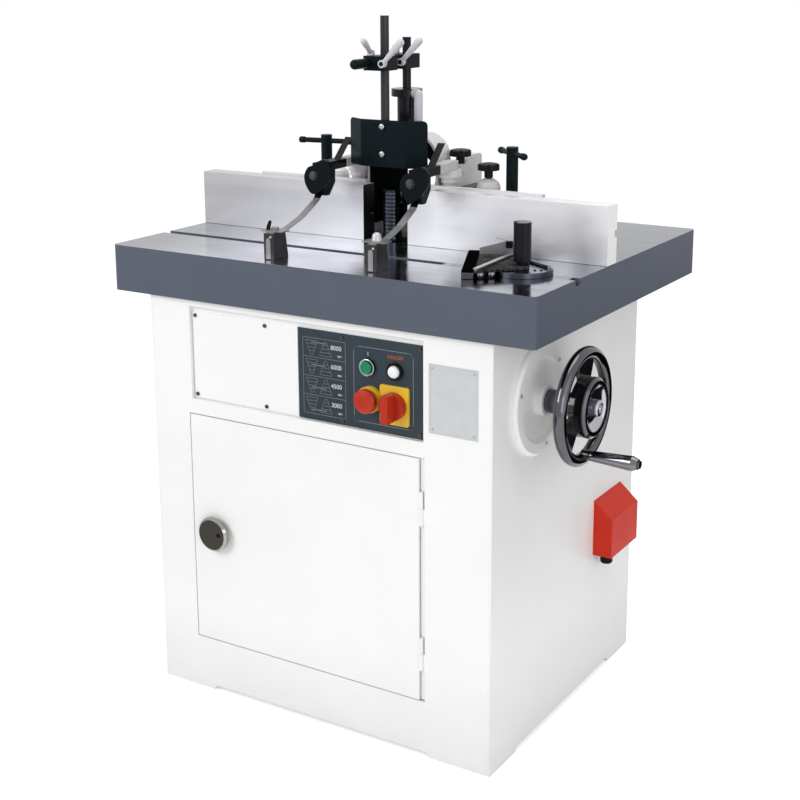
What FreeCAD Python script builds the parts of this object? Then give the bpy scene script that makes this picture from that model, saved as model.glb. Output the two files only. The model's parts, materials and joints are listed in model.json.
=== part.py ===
# Spindle moulder: a floor-standing wood shaper with its fence, guard, hold-downs and mitre gauge.
# Millimetres. X runs right along the fence, Y to the back, Z up.
# The origin is the centre of the four floor bolts, at floor level.
import FreeCAD, Part
import math
import os

os.makedirs("parts", exist_ok=True)
Vec = FreeCAD.Vector

# Clearances and tolerances
clear = 0.3
fit = 0.05
over = 2.0
tiny = 0.001

# Cabinet of folded sheet
cab_width = 714.0
cab_depth = 590.0
cab_height = 765.0
sheet = 3.0
foot_height = 9.0
foot_front_len = 118.0
foot_side_len = 95.0
foot_slope = 7.0
foot_flange = 60.0
top_flange = 40.0
floor_hole_r = 6.5
vent_count = 7
vent_length = 180.0
vent_height = 8.0
vent_pitch = 22.0
vent_low = 380.0

# Door, its hinge gap and its hinges
door_left = -274.0
door_right = 227.0
door_low = 104.0
door_drop = 28.0
door_gap = 2.0
hinge_gap = 9.0
door_depth = 16.0
lip_depth = 13.0
knuckle_r = 4.0
knuckle_len = 30.0
pin_r = 2.5
hinge_inset = 60.0
hinge_web = 2.0
hinge_leaf = 14.0

# Door knob with its tongue
knob_x = -219.0
knob_drop = 1.5
knob_r = 33.0
knob_depth = 17.0
knob_edge = 4.0
knob_neck_r = 16.0
knob_neck = 5.0
knob_spindle_r = 6.0
tongue_len = 64.0
tongue_width = 20.0
tongue_thick = 4.0
tongue_gap = 2.0

# Recess for the control plates
recess_left = -266.0
recess_right = 227.0
recess_drop = 14.0
recess_tall = 174.0
recess_depth = 8.0
plate_margin = 2.0
plate_split = -29.0
plate_top_gap = 10.0
blank_thick = 2.0
panel_thick = 3.0
screw_head_r = 3.5
screw_head_h = 2.0
screw_r = 2.0
screw_inset = 7.0
blank_screw_right = -100.0
panel_screw_left = 63.0

# Push button, lamp, emergency stop and main switch
device_hole_r = 11.0
start_x = 116.0
lamp_x = 170.0
lamp_row_drop = 61.0
stop_x = 121.0
stop_drop = 116.0
switch_x = 169.5
switch_drop = 120.0
bezel_r = 15.0
bezel_h = 5.0
bezel_lip = 2.0
barrel_len = 38.0
barrel_wall = 2.6
button_r = 10.6
button_proud = 3.5
button_travel = 3.0
button_stem = 20.0
lamp_dome = 5.0
collar_r = 23.0
collar_h = 9.0
mushroom_r = 21.0
mushroom_h = 13.0
mushroom_crown = 5.0
stop_travel = 5.0
switch_wide = 57.0
switch_tall = 68.0
switch_thick = 4.0
switch_corner = 4.0
dial_r = 24.0
dial_h = 12.0
grip_wide = 14.0
grip_h = 20.0

# Cast table
table_width = 870.0
table_depth = 690.0
table_shift = 40.0
table_thick = 85.0
top_thick = 25.0
skirt = 15.0
table_corner = 10.0
slot_y = -152.0
slot_width = 19.0
slot_depth = 10.0
ring_r = 75.0
ring_ledge = 10.0
ring_thick = 8.0
ring_bore_r = 36.0
table_bolt_r = 6.0
table_bolt_len = 34.0
bolt_head_r = 10.0
bolt_head_h = 8.0
table_bolt_y = 200.0

# Spindle, its housing and bearings
spindle_x = -12.0
spindle_y = -5.0
spindle_r = 15.0
nose_r = 12.0
nose_high = 90.0
flange_r = 26.0
flange_h = 15.0
spacer_r = 20.0
spacer_count = 3
spacer_stop = 8.0
upper_spacer_r = 17.5
upper_spacer_count = 2
nut_r = 16.5
nut_h = 24.0
nut_proud = 5.0
quill_r = 47.0
quill_bore_r = 40.0
quill_drop = 80.0
quill_len = 170.0
bearing_h = 20.0
bearing_inset = 5.0

# Rise and fall: guide rods, lead screw and mitre gears
guide_span = 150.0
guide_y = -110.0
guide_r = 14.0
way_wide = 220.0
way_front = -172.0
way_back = -72.0
way_top_thick = 20.0
tie_drop = 325.0
tie_thick = 20.0
lift_drop = 90.0
lift_len = 55.0
lift_wall = 10.0
screw_shaft_r = 10.0
screw_journal_r = 8.0
nut_boss_r = 22.0
gear_teeth = 16
gear_pitch_r = 24.0
gear_face = 10.0
gear_hub_r = 18.0
gear_hub = 12.0
addendum_share = 0.9
dedendum_share = 1.2
tooth_share = 0.84
flank_deg = 20.0
tooth_sink = 0.6
bracket_x = 32.0
bracket_thick = 18.0
bracket_half = 28.0

# Motor, pulleys and belt
motor_reach = 170.0
motor_r = 78.0
motor_len = 160.0
motor_plate_thick = 12.0
motor_plate_half = 95.0
motor_plate_rim = 8.0
motor_hole_r = 25.0
motor_shaft_r = 12.0
motor_socket = 40.0
fin_count = 24
fin_h = 6.0
motor_flange = 6.0
cowl_len = 35.0
fin_t = 3.0
terminal_len = 90.0
terminal_half = 35.0
terminal_proud = 40.0
step_radii = (30.0, 36.0, 42.0, 48.0)
step_h = 18.0
pulley_drop = 4.0
belt_step = 1
belt_thick = 5.0
belt_width = 14.0

# Handwheel, its flange and crank handle
wheel_y = -137.0
wheel_drop = 218.0
wheel_shaft_r = 11.0
dish_r = 98.0
dish_h = 11.0
dish_rim = 22.0
dish_sink = 6.0
dish_round = 5.0
dish_hub_r = 26.0
dish_hub_h = 22.0
spigot_r = 40.0
spigot_len = 14.0
sleeve_r = 20.5
sleeve_gap = 1.0
rim_off = 86.0
rim_r = 91.0
rim_tube_r = 11.0
spoke_count = 3
spoke_half_deg = 38.0
web_thick = 8.0
bell_r = 52.0
bell_in_r = 40.0
bell_h = 25.0
bell_sink = 12.0
bell_round = 5.0
wheel_nut_r = 15.0
wheel_nut_h = 14.0
crank_r = 84.0
crank_turn_deg = 180.0
crank_pin_r = 5.0
crank_start = 6.0
crank_len = 84.0
crank_thin_r = 9.0
crank_fat_r = 13.0
crank_head_r = 7.0
crank_head_h = 3.0
crank_tip_share = 0.88

# Supply box on the right wall
supply_front = 114.0
supply_back = 237.0
supply_low = 257.0
supply_high = 366.0
supply_depth = 38.0
supply_slope = 33.0
supply_wall = 3.0
gland_r = 11.0
gland_bore_r = 6.0
gland_len = 16.0
gland_inset = 22.0

# Fence plates and the carriers behind them
face_y = -35.0
fence_thick = 36.0
fence_high = 103.0
gap_left = 45.0
gap_right = 51.0
cut_wide = 50.0
cut_high = 31.0
groove_z = 52.0
groove_wide = 12.0
groove_deep = 10.0
carrier_thick = 12.0
carrier_high = 107.0
carrier_in = 62.0
carrier_out = 305.0
key_deep = 8.0

# Fence casting
base_thick = 18.0
base_in = 74.0
base_out = 288.0
base_back = 150.0
bridge_front = 74.0
right_foot_gap = 11.0
arm_in = 78.0
arm_wide = 26.0
arm_front = 52.0
arm_front_high = 115.0
arm_back_high = 153.0
arm_crest_y = 105.0
arm_round = 8.0
pillar_off = 100.0
pillar_y = 36.0
pillar_r = 14.0
pillar_high = 110.0
disc_low_r = 17.0
disc_low_h = 10.0
disc_r = 21.0
disc_h = 14.0
pivot_r = 8.0
dome_off = 166.0
dome_y = 62.0
dome_r = 22.0
dome_high = 104.0
dome_crown = 16.0
slide_bar_off = 116.0
slide_bar_wide = 24.0
slide_bar_high = 10.0
slide_bar_len = 95.0
slide_bar_z = 92.0

# Clamp studs with their tee handles
stud_off = 205.0
stud_y = 80.0
stud_r = 6.0
stud_proud = 118.0
slot_front = 47.0
slot_back = 22.0
sleeve_top = 177.0
tee_sleeve_r = 11.0
tee_len = 116.0
tee_bar_r = 5.0
tee_drop = 12.0
tee_left_deg = 8.0
tee_right_deg = -40.0

# Knobs on the fence casting
round_knob_r = 20.0
round_knob_h = 14.0
round_knob_crown = 4.0
round_knob_stem_r = 8.0
round_knob_stem = 14.0
knob_lobes = 6
lobe_r = 3.0
lock_knob_y = 76.0
lock_knob_off = 99.0
lock_boss_r = 10.0

# Dust hood with its outlet
hood_half = 77.0
hood_front = 30.0
hood_back = 78.0
hood_top = 195.0
hood_round = 46.0
hood_wall = 5.0
port_r = 50.0
port_wall = 3.0
port_len = 50.0
port_z = 110.0

# Guard post, its rod, the arm and the guard
post_y = 48.0
post_r = 18.0
post_high = 68.0
post_collar_r = 29.0
post_collar_h = 14.0
guard_rod_r = 8.0
post_rod_high = 94.0
clamp_left = 33.0
clamp_right = 17.0
clamp_half_h = 13.0
clamp_corner = 5.0
clamp_high = 328.0
rear_clamp_front = 12.0
rear_clamp_back = 70.0
bar_off = 22.0
bar_r = 9.0
bar_front = -93.0
bar_back = 80.0
front_clamp_front = -52.0
front_clamp_back = -8.0
guard_rod_y = -28.0
guard_rod_high = 412.0
guard_gap = 140.0
guard_tall = 86.0
guard_half = 47.0
guard_wing = 42.0
guard_wing_deg = 30.0
guard_thick = 2.0
guard_corner = 9.0
guard_screw_r = 5.5
guard_screw_h = 2.5
guard_screw_up = 24.0
guard_screw_span = 50.0

# Clamping levers
lever_hub_r = 7.0
lever_hub_h = 9.0
lever_neck_r = 4.5
lever_neck = 5.0
lever_len = 55.0
lever_r = 4.0
lever_tip_r = 5.0
lever_tilt_deg = 45.0
lever_off = 13.0
arm_lever_y = -40.0
arm_lever_deg = -72.0
arm_lever_tilt_deg = 25.0
post_lever_drop = 46.0
post_lever_reach = 15.0
post_lever_r = 8.0
post_lever_deg = -30.0

# Spring hold-downs, each turned a little on its pillar
hold_left_deg = 3.0
hold_right_deg = 5.0
hold_half = 12.0
hold_eye_r = 15.0
hold_high = 150.0
cheek_back = -72.0
cheek_front = -112.0
cheek_top = 150.0
cheek_round = 14.0
cheek_low = 108.0
cheek_heel = 112.0
point_y = -106.0
point_z = 90.0
point_back = -92.0
face_thick = 8.0
face_low = 94.0
face_wide = 56.0
face_tall = 61.0
face_shares = ((0.02, 0.94), (0.46, 0.96), (0.55, 0.75), (0.45, 0.43), (0.23, 0.18), (-0.16, 0.0),
               (-0.38, 0.23), (-0.45, 0.52), (-0.3, 0.79))
cheek_bolt_r = 7.0
cheek_bolt_h = 4.0
cheek_bolt_off = -5.0
cheek_bolt_z = 127.0
strip_half = 7.0
strip_thick = 1.2
tail_y = -2.0
tail_z = 186.0
lip_y = -122.0
lip_z = 83.0
sag_y = -170.0
sag_z = 61.0
bend_y = -200.0
bend_z = 52.5
flat_y = -222.0
strip_end_y = -276.0
shoe_front = -278.0
shoe_back = -232.0
shoe_top_back = -240.0
shoe_half = 10.0
shoe_high = 46.5
shoe_bolt_y = -257.0
shoe_bolt_r = 7.0
shoe_bolt_h = 5.0
shoe_tap_r = 4.0
shoe_tap = 14.0
washer_half = 22.0
washer_deep = 24.0
washer_h = 2.0

# Mitre gauge, with its head turned as it is used
gauge_x = 333.0
gauge_turn_deg = 25.0
gauge_bar_left = -150.0
gauge_bar_right = 90.0
gauge_bar_play = 0.2
gauge_base_r = 52.0
gauge_base_h = 9.0
gauge_pivot_r = 7.0
fence_bar_left = -97.0
fence_bar_right = -76.0
fence_bar_front = -58.0
fence_bar_back = 120.0
fence_bar_h = 13.5
web_thin = 3.8
web_near = 12.0
web_half = 20.0
brace_near = -17.0
brace_wide = 4.0
brace_h = 3.0
stop_back = 88.0
stop_thick = 4.0
stop_low_h = 11.0
stop_high_h = 23.0
stop_flat = 16.0
handle_r = 15.0
handle_high = 66.0
handle_neck_r = 9.0
handle_neck = 6.0
handle_stud_r = 4.0
handle_stud = 34.0
hook_r = 4.0
hook_start_x = -10.0
hook_start_y = 44.0
hook_end_x = 48.0
hook_end_y = 9.0
hook_bend = 10.0
hook_rise = 2.0

# Heights and edges worked out from the sizes above
table_top = cab_height + table_thick
table_under = table_top - top_thick
wheel_z = table_top - wheel_drop
half_wide = cab_width / 2
half_deep = cab_depth / 2
front_face = -half_deep
recess_high = cab_height - recess_drop
recess_low = recess_high - recess_tall
lamp_row_z = recess_high - lamp_row_drop
stop_z = recess_high - stop_drop
switch_z = recess_high - switch_drop
door_high = recess_low - door_drop
knob_z = (door_low + door_high) / 2 - knob_drop
recess_floor = front_face + recess_depth
panel_face = recess_floor - panel_thick
device_back = recess_floor + barrel_len
hinge_x = door_right - hinge_gap / 2
fence_floor = table_top + clear
fence_rear = face_y + fence_thick
carrier_rear = fence_rear + carrier_thick
base_top = table_top + base_thick
hood_crest = table_top + hood_top
post_top = hood_crest + post_high
collar_top = post_top + post_collar_h
rod_top = collar_top + post_rod_high
disc_low = table_top + pillar_high
disc_top = disc_low + disc_low_h + disc_h
clamp_z = table_top + clamp_high
guard_rod_top = table_top + guard_rod_high
guard_low = table_top + guard_gap
guard_high = guard_low + guard_tall
guard_screw_low = guard_low + guard_screw_up
guard_screw_high = guard_screw_low + guard_screw_span
nose_top = table_top + nose_high
quill_high = table_top - quill_drop
quill_low = quill_high - quill_len
lift_high = table_top - lift_drop
lift_low = lift_high - lift_len
tie_low = table_top - tie_drop
motor_y = spindle_y + motor_reach
pulley_high = quill_low - pulley_drop
pulley_low = pulley_high - step_h * len(step_radii)
belt_low = pulley_low + step_h * belt_step + (step_h - belt_width) / 2
motor_floor = quill_low + motor_plate_thick
flange_low = quill_high + bearing_inset
nose_low = flange_low + flange_h
way_top = table_under - way_top_thick
tie_high = tie_low + tie_thick
hub_face = half_wide + dish_hub_h
rim_x = half_wide + rim_off
bell_face = rim_x + bell_h
shoe_floor = table_top + clear
shoe_top = shoe_floor + shoe_high
gauge_floor = table_top + clear
gauge_base_top = gauge_floor + gauge_base_h
gauge_head_top = gauge_floor + fence_bar_h
gauge_web_low = gauge_head_top - web_thin
gauge_pivot = Vec(gauge_x, slot_y, gauge_floor)

X_AXIS = Vec(1, 0, 0)
Y_AXIS = Vec(0, 1, 0)
Z_AXIS = Vec(0, 0, 1)


# Shape helpers
def block(x0, x1, y0, y1, z0, z1):
    return Part.makeBox(x1 - x0, y1 - y0, z1 - z0, Vec(x0, y0, z0))


def rod(radius, start, end):
    along = end - start
    return Part.makeCylinder(radius, along.Length, start, along)


def pipe(outer, inner, start, end):
    return rod(outer, start, end).cut(rod(inner, start, end))


def prism(points, push):
    wire = Part.makePolygon(points + [points[0]])
    return Part.Face(wire).extrude(push)


def turned(profile, place, axis):
    points = [Vec(radius, 0, height) for radius, height in profile]
    face = Part.Face(Part.makePolygon(points + [points[0]]))
    body = face.revolve(Vec(0, 0, 0), Z_AXIS, 360)
    body.Placement = FreeCAD.Placement(place, FreeCAD.Rotation(Z_AXIS, axis))
    return body


def joined(shapes):
    whole = shapes[0].multiFuse(shapes[1:]).removeSplitter()
    return whole.Solids[0] if len(whole.Solids) == 1 else whole


def without(shape, tools):
    for tool in tools:
        shape = shape.cut(tool)
    return shape


def swung(shape, degrees, centre, axis):
    moved = shape.copy()
    moved.rotate(centre, axis, degrees)
    return moved


def rounded(shape, radius, wanted):
    edges = [edge for edge in shape.Edges if wanted(edge.BoundBox)]
    return shape.makeFillet(radius, edges)


def upright(box):
    return box.XLength < tiny and box.YLength < tiny


def along_x(box):
    return box.YLength < tiny and box.ZLength < tiny


def along_y(box):
    return box.XLength < tiny and box.ZLength < tiny


def ball_top(radius, crown):
    # Profile points of a low crown above a disc of this radius
    return [(radius * math.cos(math.radians(a)), crown * math.sin(math.radians(a))) for a in (30, 60)]


def save(name, shape):
    shape.exportStep("parts/" + name + ".step")


# Cabinet walls
def foot_cut_points(half, foot):
    low = half - foot
    high = low - foot_slope
    return [(-low, -over), (-low, 0), (-high, foot_height), (high, foot_height), (low, 0), (low, -over)]


def foot_hole_place(side, end):
    return Vec(side * (half_wide - foot_flange / 2), end * (half_deep - foot_side_len / 2), 0)


def side_wall(side):
    outer = side * half_wide
    inner = side * (half_wide - sheet)
    near, far = min(outer, inner), max(outer, inner)
    wall = block(near, far, -half_deep, half_deep, 0, cab_height)
    points = [Vec(near - over, y, z) for y, z in foot_cut_points(half_deep, foot_side_len)]
    wall = wall.cut(prism(points, Vec(sheet + 2 * over, 0, 0)))
    folded = side * (half_wide - top_flange)
    top = block(min(folded, outer), max(folded, outer), -half_deep + sheet, half_deep - sheet,
                cab_height - sheet, cab_height)
    pieces = [wall, top]
    for end in (-1, 1):
        foot_in = side * (half_wide - foot_flange)
        y_out = end * (half_deep - sheet)
        y_in = end * (half_deep - foot_side_len)
        pieces.append(block(min(foot_in, outer), max(foot_in, outer), min(y_in, y_out), max(y_in, y_out),
                            0, sheet))
    shell = joined(pieces)
    holes = []
    for end in (-1, 1):
        place = foot_hole_place(side, end)
        holes.append(rod(floor_hole_r, place - Z_AXIS * over, place + Z_AXIS * (sheet + over)))
        bolt = Vec(side * (half_wide - top_flange / 2), end * table_bolt_y, cab_height - sheet)
        holes.append(rod(table_bolt_r + clear, bolt - Z_AXIS * over, bolt + Z_AXIS * (sheet + over)))
    return without(shell, holes)


def right_wall():
    start = Vec(half_wide - sheet - over, wheel_y, wheel_z)
    opening = rod(spigot_r + clear, start, start + X_AXIS * (sheet + 2 * over))
    cable = Vec(half_wide - sheet - over, (supply_front + supply_back) / 2, (supply_low + supply_high) / 2)
    return without(side_wall(1), [opening, rod(gland_r, cable, cable + X_AXIS * (sheet + 2 * over))])


def rear_wall():
    inner = half_wide - sheet
    wall = block(-inner, inner, half_deep - sheet, half_deep, 0, cab_height)
    points = [Vec(x, half_deep - sheet - over, z) for x, z in foot_cut_points(half_wide, foot_front_len)]
    wall = wall.cut(prism(points, Vec(0, sheet + 2 * over, 0)))
    vents = []
    for index in range(vent_count):
        low = vent_low + index * vent_pitch
        vents.append(block(-vent_length / 2, vent_length / 2, half_deep - sheet - over, half_deep + over,
                           low, low + vent_height))
    return without(wall, vents)


def knuckle_starts():
    return (door_low + hinge_inset, door_high - hinge_inset - 2 * knuckle_len)


def device_places():
    return [(start_x, lamp_row_z), (lamp_x, lamp_row_z), (stop_x, stop_z), (switch_x, switch_z)]


def front_wall():
    inner = half_wide - sheet
    back = front_face + sheet
    wall = block(-inner, inner, front_face, back, 0, cab_height)
    points = [Vec(x, front_face - over, z) for x, z in foot_cut_points(half_wide, foot_front_len)]
    tray = block(recess_left - sheet, recess_right + sheet, front_face, recess_floor + sheet,
                 recess_low - sheet, recess_high + sheet)
    lip = block(door_left - sheet, door_right, front_face, front_face + sheet + lip_depth,
                door_low - sheet, door_high + sheet)
    shell = without(joined([wall, tray, lip]), [
        prism(points, Vec(0, sheet + 2 * over, 0)),
        block(recess_left, recess_right, front_face - over, recess_floor, recess_low, recess_high),
        block(door_left, door_right + over, front_face - over, front_face + sheet + lip_depth + over,
              door_low, door_high)])
    for x, z in device_places():
        start = Vec(x, recess_floor - over, z)
        shell = shell.cut(rod(device_hole_r, start, start + Y_AXIS * (sheet + 2 * over)))
    for x, z in screw_places():
        start = Vec(x, recess_floor - over, z)
        shell = shell.cut(rod(screw_r + clear, start, start + Y_AXIS * (sheet + 2 * over)))
    fixed = [shell]
    for low in knuckle_starts():
        start = Vec(hinge_x, front_face, low)
        top = start + Z_AXIS * knuckle_len
        leaf = block(hinge_x, hinge_x + hinge_leaf, front_face, front_face + hinge_web, low, top.z)
        fixed += [rod(knuckle_r, start, top), leaf]
        fixed.append(rod(pin_r, top - Z_AXIS * over, top + Z_AXIS * knuckle_len))
    return joined(fixed)


def screw_places():
    low = recess_low + plate_margin + screw_inset
    high = recess_high - plate_top_gap - screw_inset
    blank = (recess_left + plate_margin + screw_inset, blank_screw_right)
    panel = (panel_screw_left, recess_right - plate_margin - screw_inset)
    return [(x, z) for x in blank + panel for z in (low, high)]


def control_plate(left, right, thick):
    plate = block(left, right, recess_floor - thick, recess_floor, recess_low + plate_margin,
                  recess_high - plate_top_gap)
    for x, z in device_places():
        start = Vec(x, recess_floor - thick - over, z)
        plate = plate.cut(rod(device_hole_r, start, start + Y_AXIS * (thick + 2 * over)))
    for x, z in screw_places():
        start = Vec(x, recess_floor - thick - over, z)
        plate = plate.cut(rod(screw_r + clear, start, start + Y_AXIS * (thick + 2 * over)))
    return plate


def blank_panel():
    return control_plate(recess_left + plate_margin, plate_split - plate_margin / 2, blank_thick)


def control_panel():
    return control_plate(plate_split + plate_margin / 2, recess_right - plate_margin, panel_thick)


def plate_screw(x, z):
    thick = blank_thick if x < plate_split else panel_thick
    seat = Vec(x, recess_floor - thick, z)
    head = rod(screw_head_r, seat - Y_AXIS * screw_head_h, seat)
    return joined([head, rod(screw_r, seat, Vec(x, recess_floor + sheet, z))])


def table_bolt(side, end):
    seat = Vec(side * (half_wide - top_flange / 2), end * table_bolt_y, cab_height - sheet)
    head = rod(bolt_head_r, seat - Z_AXIS * bolt_head_h, seat)
    return joined([head, rod(table_bolt_r, seat, seat + Z_AXIS * table_bolt_len)])


def stud_place(side):
    return Vec(spindle_x + side * stud_off, stud_y, table_under)


def clamp_stud(side):
    foot = stud_place(side)
    return rod(stud_r, foot, foot + Z_AXIS * (top_thick + stud_proud))


def machine_fasteners():
    screws = [plate_screw(x, z) for x, z in screw_places()]
    bolts = [table_bolt(side, end) for side in (-1, 1) for end in (-1, 1)]
    studs = [clamp_stud(side) for side in (-1, 1)]
    return Part.makeCompound(screws + bolts + studs)


# Door with its hinge knuckles
def door_panel():
    left = door_left + door_gap
    right = door_right - hinge_gap
    low = door_low + door_gap
    high = door_high - door_gap
    tray = block(left, right, front_face, front_face + door_depth, low, high)
    hollow = block(left + sheet, right - sheet, front_face + sheet, front_face + door_depth + over,
                   low + sheet, high - sheet)
    door = tray.cut(hollow)
    start = Vec(knob_x, front_face - over, knob_z)
    door = door.cut(rod(knob_spindle_r + fit, start, start + Y_AXIS * (sheet + 2 * over)))
    for knuckle_low in knuckle_starts():
        start = Vec(hinge_x, front_face, knuckle_low + knuckle_len + clear)
        top = start + Z_AXIS * (knuckle_len - clear)
        leaf = block(right - sheet, hinge_x, front_face, front_face + hinge_web, start.z, top.z)
        bore = rod(pin_r + fit, start - Z_AXIS * over, top + Z_AXIS * over)
        door = joined([door, rod(knuckle_r, start, top), leaf]).cut(bore)
    return door


def door_knob():
    face = Vec(knob_x, front_face - clear, knob_z)
    neck = knob_neck
    profile = [(0, 0), (knob_neck_r, 0), (knob_neck_r, neck), (knob_r - knob_edge, neck),
               (knob_r, neck + knob_edge), (knob_r, knob_depth - knob_edge),
               (knob_r - knob_edge, knob_depth), (0, knob_depth)]
    knob = turned(profile, face, Vec(0, -1, 0))
    tongue_face = front_face + door_depth + tongue_gap
    stem = rod(knob_spindle_r, face, Vec(knob_x, tongue_face + tongue_thick, knob_z))
    tongue = block(knob_x - tongue_width / 2, knob_x + tongue_width / 2, tongue_face,
                   tongue_face + tongue_thick, knob_z - tongue_width / 2, knob_z + tongue_len)
    return joined([knob, stem, tongue])


# Controls on the panel
def bezel(x, z):
    face = Vec(x, panel_face, z)
    ring = pipe(bezel_r, device_hole_r + clear, face - Y_AXIS * bezel_h, face)
    barrel = pipe(device_hole_r - fit, device_hole_r - barrel_wall, face, Vec(x, device_back, z))
    lip = pipe(device_hole_r + 2 * clear, device_hole_r - barrel_wall, face - Y_AXIS * bezel_lip, face)
    return joined([ring, barrel, lip])


def button_bezels():
    return Part.makeCompound([bezel(start_x, lamp_row_z), bezel(lamp_x, lamp_row_z)])


def start_button():
    seat = Vec(start_x, panel_face - bezel_lip - button_travel - clear, lamp_row_z)
    cap = rod(button_r, seat - Y_AXIS * button_proud, seat)
    stem = rod(device_hole_r - barrel_wall - clear, seat, seat + Y_AXIS * button_stem)
    return joined([cap, stem])


def pilot_lamp():
    seat = Vec(lamp_x, panel_face - bezel_lip, lamp_row_z)
    crown = [(r, bezel_h + h) for r, h in ball_top(button_r, lamp_dome)]
    lens = turned([(0, 0), (button_r, 0), (button_r, bezel_h)] + crown + [(0, bezel_h + lamp_dome)],
                  seat, Vec(0, -1, 0))
    holder = rod(device_hole_r - barrel_wall - fit, seat, seat + Y_AXIS * button_stem)
    return joined([lens, holder])


def switch_plates():
    seat = Vec(stop_x, panel_face, stop_z)
    bore = device_hole_r - barrel_wall
    collar = joined([
        pipe(collar_r, bore, seat - Y_AXIS * collar_h, seat),
        pipe(device_hole_r - fit, bore, seat, Vec(stop_x, device_back, stop_z))])
    plate = block(switch_x - switch_wide / 2, switch_x + switch_wide / 2, panel_face - switch_thick,
                  panel_face, switch_z - switch_tall / 2, switch_z + switch_tall / 2)
    plate = rounded(plate, switch_corner, along_y)
    plate = plate.cut(collar_clearance())
    start = Vec(switch_x, panel_face - switch_thick, switch_z)
    plate = plate.cut(rod(bore, start - Y_AXIS * over, start + Y_AXIS * (switch_thick + over)))
    barrel = pipe(device_hole_r - fit, bore, Vec(switch_x, panel_face, switch_z),
                  Vec(switch_x, device_back, switch_z))
    return Part.makeCompound([collar, joined([plate, barrel])])


def collar_clearance():
    seat = Vec(stop_x, panel_face, stop_z)
    return rod(collar_r + clear, seat - Y_AXIS * (switch_thick + over), seat + Y_AXIS * over)


def estop_button():
    seat = Vec(stop_x, panel_face - collar_h - stop_travel - clear, stop_z)
    body_h = mushroom_h - mushroom_crown
    crown = [(r, body_h + h) for r, h in ball_top(mushroom_r, mushroom_crown)]
    head = turned([(0, 0), (mushroom_r, 0), (mushroom_r, body_h)] + crown + [(0, mushroom_h)],
                  seat, Vec(0, -1, 0))
    stem = rod(device_hole_r - barrel_wall - clear, seat, Vec(stop_x, recess_floor + button_stem, stop_z))
    return joined([head, stem])


def switch_knob():
    seat = Vec(switch_x, panel_face - switch_thick - clear, switch_z)
    stem_end = Vec(switch_x, recess_floor + button_stem, switch_z)
    dial = rod(dial_r, seat - Y_AXIS * dial_h, seat)
    grip = block(switch_x - grip_wide / 2, switch_x + grip_wide / 2, seat.y - dial_h - grip_h,
                 seat.y - dial_h, switch_z - dial_r + clear, switch_z + dial_r - clear)
    stem = rod(device_hole_r - barrel_wall - clear, seat, stem_end)
    return joined([dial, grip, stem])


# Table and its ring
def machine_table():
    front = table_shift - table_depth / 2
    back = table_shift + table_depth / 2
    half = table_width / 2
    body = block(-half, half, front, back, cab_height, table_top)
    body = rounded(body, table_corner, upright)
    hollow = block(-half + skirt, half - skirt, front + skirt, back - skirt, cab_height - over, table_under)
    body = body.cut(hollow)
    seats = []
    for side in (-1, 1):
        middle = side * (half_wide - top_flange / 2)
        seats.append(block(middle - top_flange / 2, middle + top_flange / 2, front + skirt / 2,
                           back - skirt / 2, cab_height, table_under))
    body = joined([body] + seats)
    centre = Vec(spindle_x, spindle_y, table_top)
    cuts = [
        block(-half - over, half + over, slot_y - slot_width / 2, slot_y + slot_width / 2,
              table_top - slot_depth, table_top + over),
        rod(ring_r, centre - Z_AXIS * ring_thick, centre + Z_AXIS * over),
        rod(ring_r - ring_ledge, centre - Z_AXIS * (top_thick + over), centre)]
    for side in (-1, 1):
        foot = stud_place(side)
        cuts.append(rod(stud_r + fit, foot - Z_AXIS * over, foot + Z_AXIS * (top_thick + over)))
        for end in (-1, 1):
            seat = Vec(side * (half_wide - top_flange / 2), end * table_bolt_y, cab_height)
            cuts.append(rod(table_bolt_r + fit, seat - Z_AXIS * over, seat + Z_AXIS * table_bolt_len))
    return without(body, cuts)


def table_ring():
    centre = Vec(spindle_x, spindle_y, table_top)
    return pipe(ring_r - fit, ring_bore_r, centre - Z_AXIS * ring_thick, centre)


# Rise and fall under the table
def spindle_slideway():
    left = spindle_x - way_wide / 2
    right = spindle_x + way_wide / 2
    pieces = [block(left, right, way_front, way_back, way_top, table_under),
              block(left, right, way_front, way_back, tie_low, tie_high),
              block(bracket_x, bracket_x + bracket_thick, wheel_y - bracket_half, wheel_y + bracket_half,
                    tie_high, wheel_z + bracket_half)]
    for side in (-1, 1):
        foot = Vec(spindle_x + side * guide_span / 2, guide_y, tie_low)
        pieces.append(rod(guide_r, foot, Vec(foot.x, foot.y, way_top + over)))
    shaft_start = Vec(bracket_x - over, wheel_y, wheel_z)
    journal = Vec(spindle_x, wheel_y, tie_low - over)
    return without(joined(pieces), [
        rod(wheel_shaft_r + fit, shaft_start, shaft_start + X_AXIS * (bracket_thick + 2 * over)),
        rod(screw_journal_r + fit, journal, journal + Z_AXIS * (tie_thick + 2 * over)),
        rod(screw_journal_r + fit, Vec(spindle_x, wheel_y, way_top - over),
            Vec(spindle_x, wheel_y, table_under + over))])


def tapered_block(outer, inner):
    # Flat-sided solid between two like outlines
    faces = [Part.Face(Part.makePolygon(ring + ring[:1])) for ring in (outer, inner)]
    for index in range(len(outer)):
        after = (index + 1) % len(outer)
        corners = [outer[index], outer[after], inner[after], inner[index]]
        faces.append(Part.Face(Part.makePolygon(corners + corners[:1])))
    solid = Part.makeSolid(Part.makeShell(faces))
    if solid.Volume < 0:
        solid.reverse()
    return solid


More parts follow.
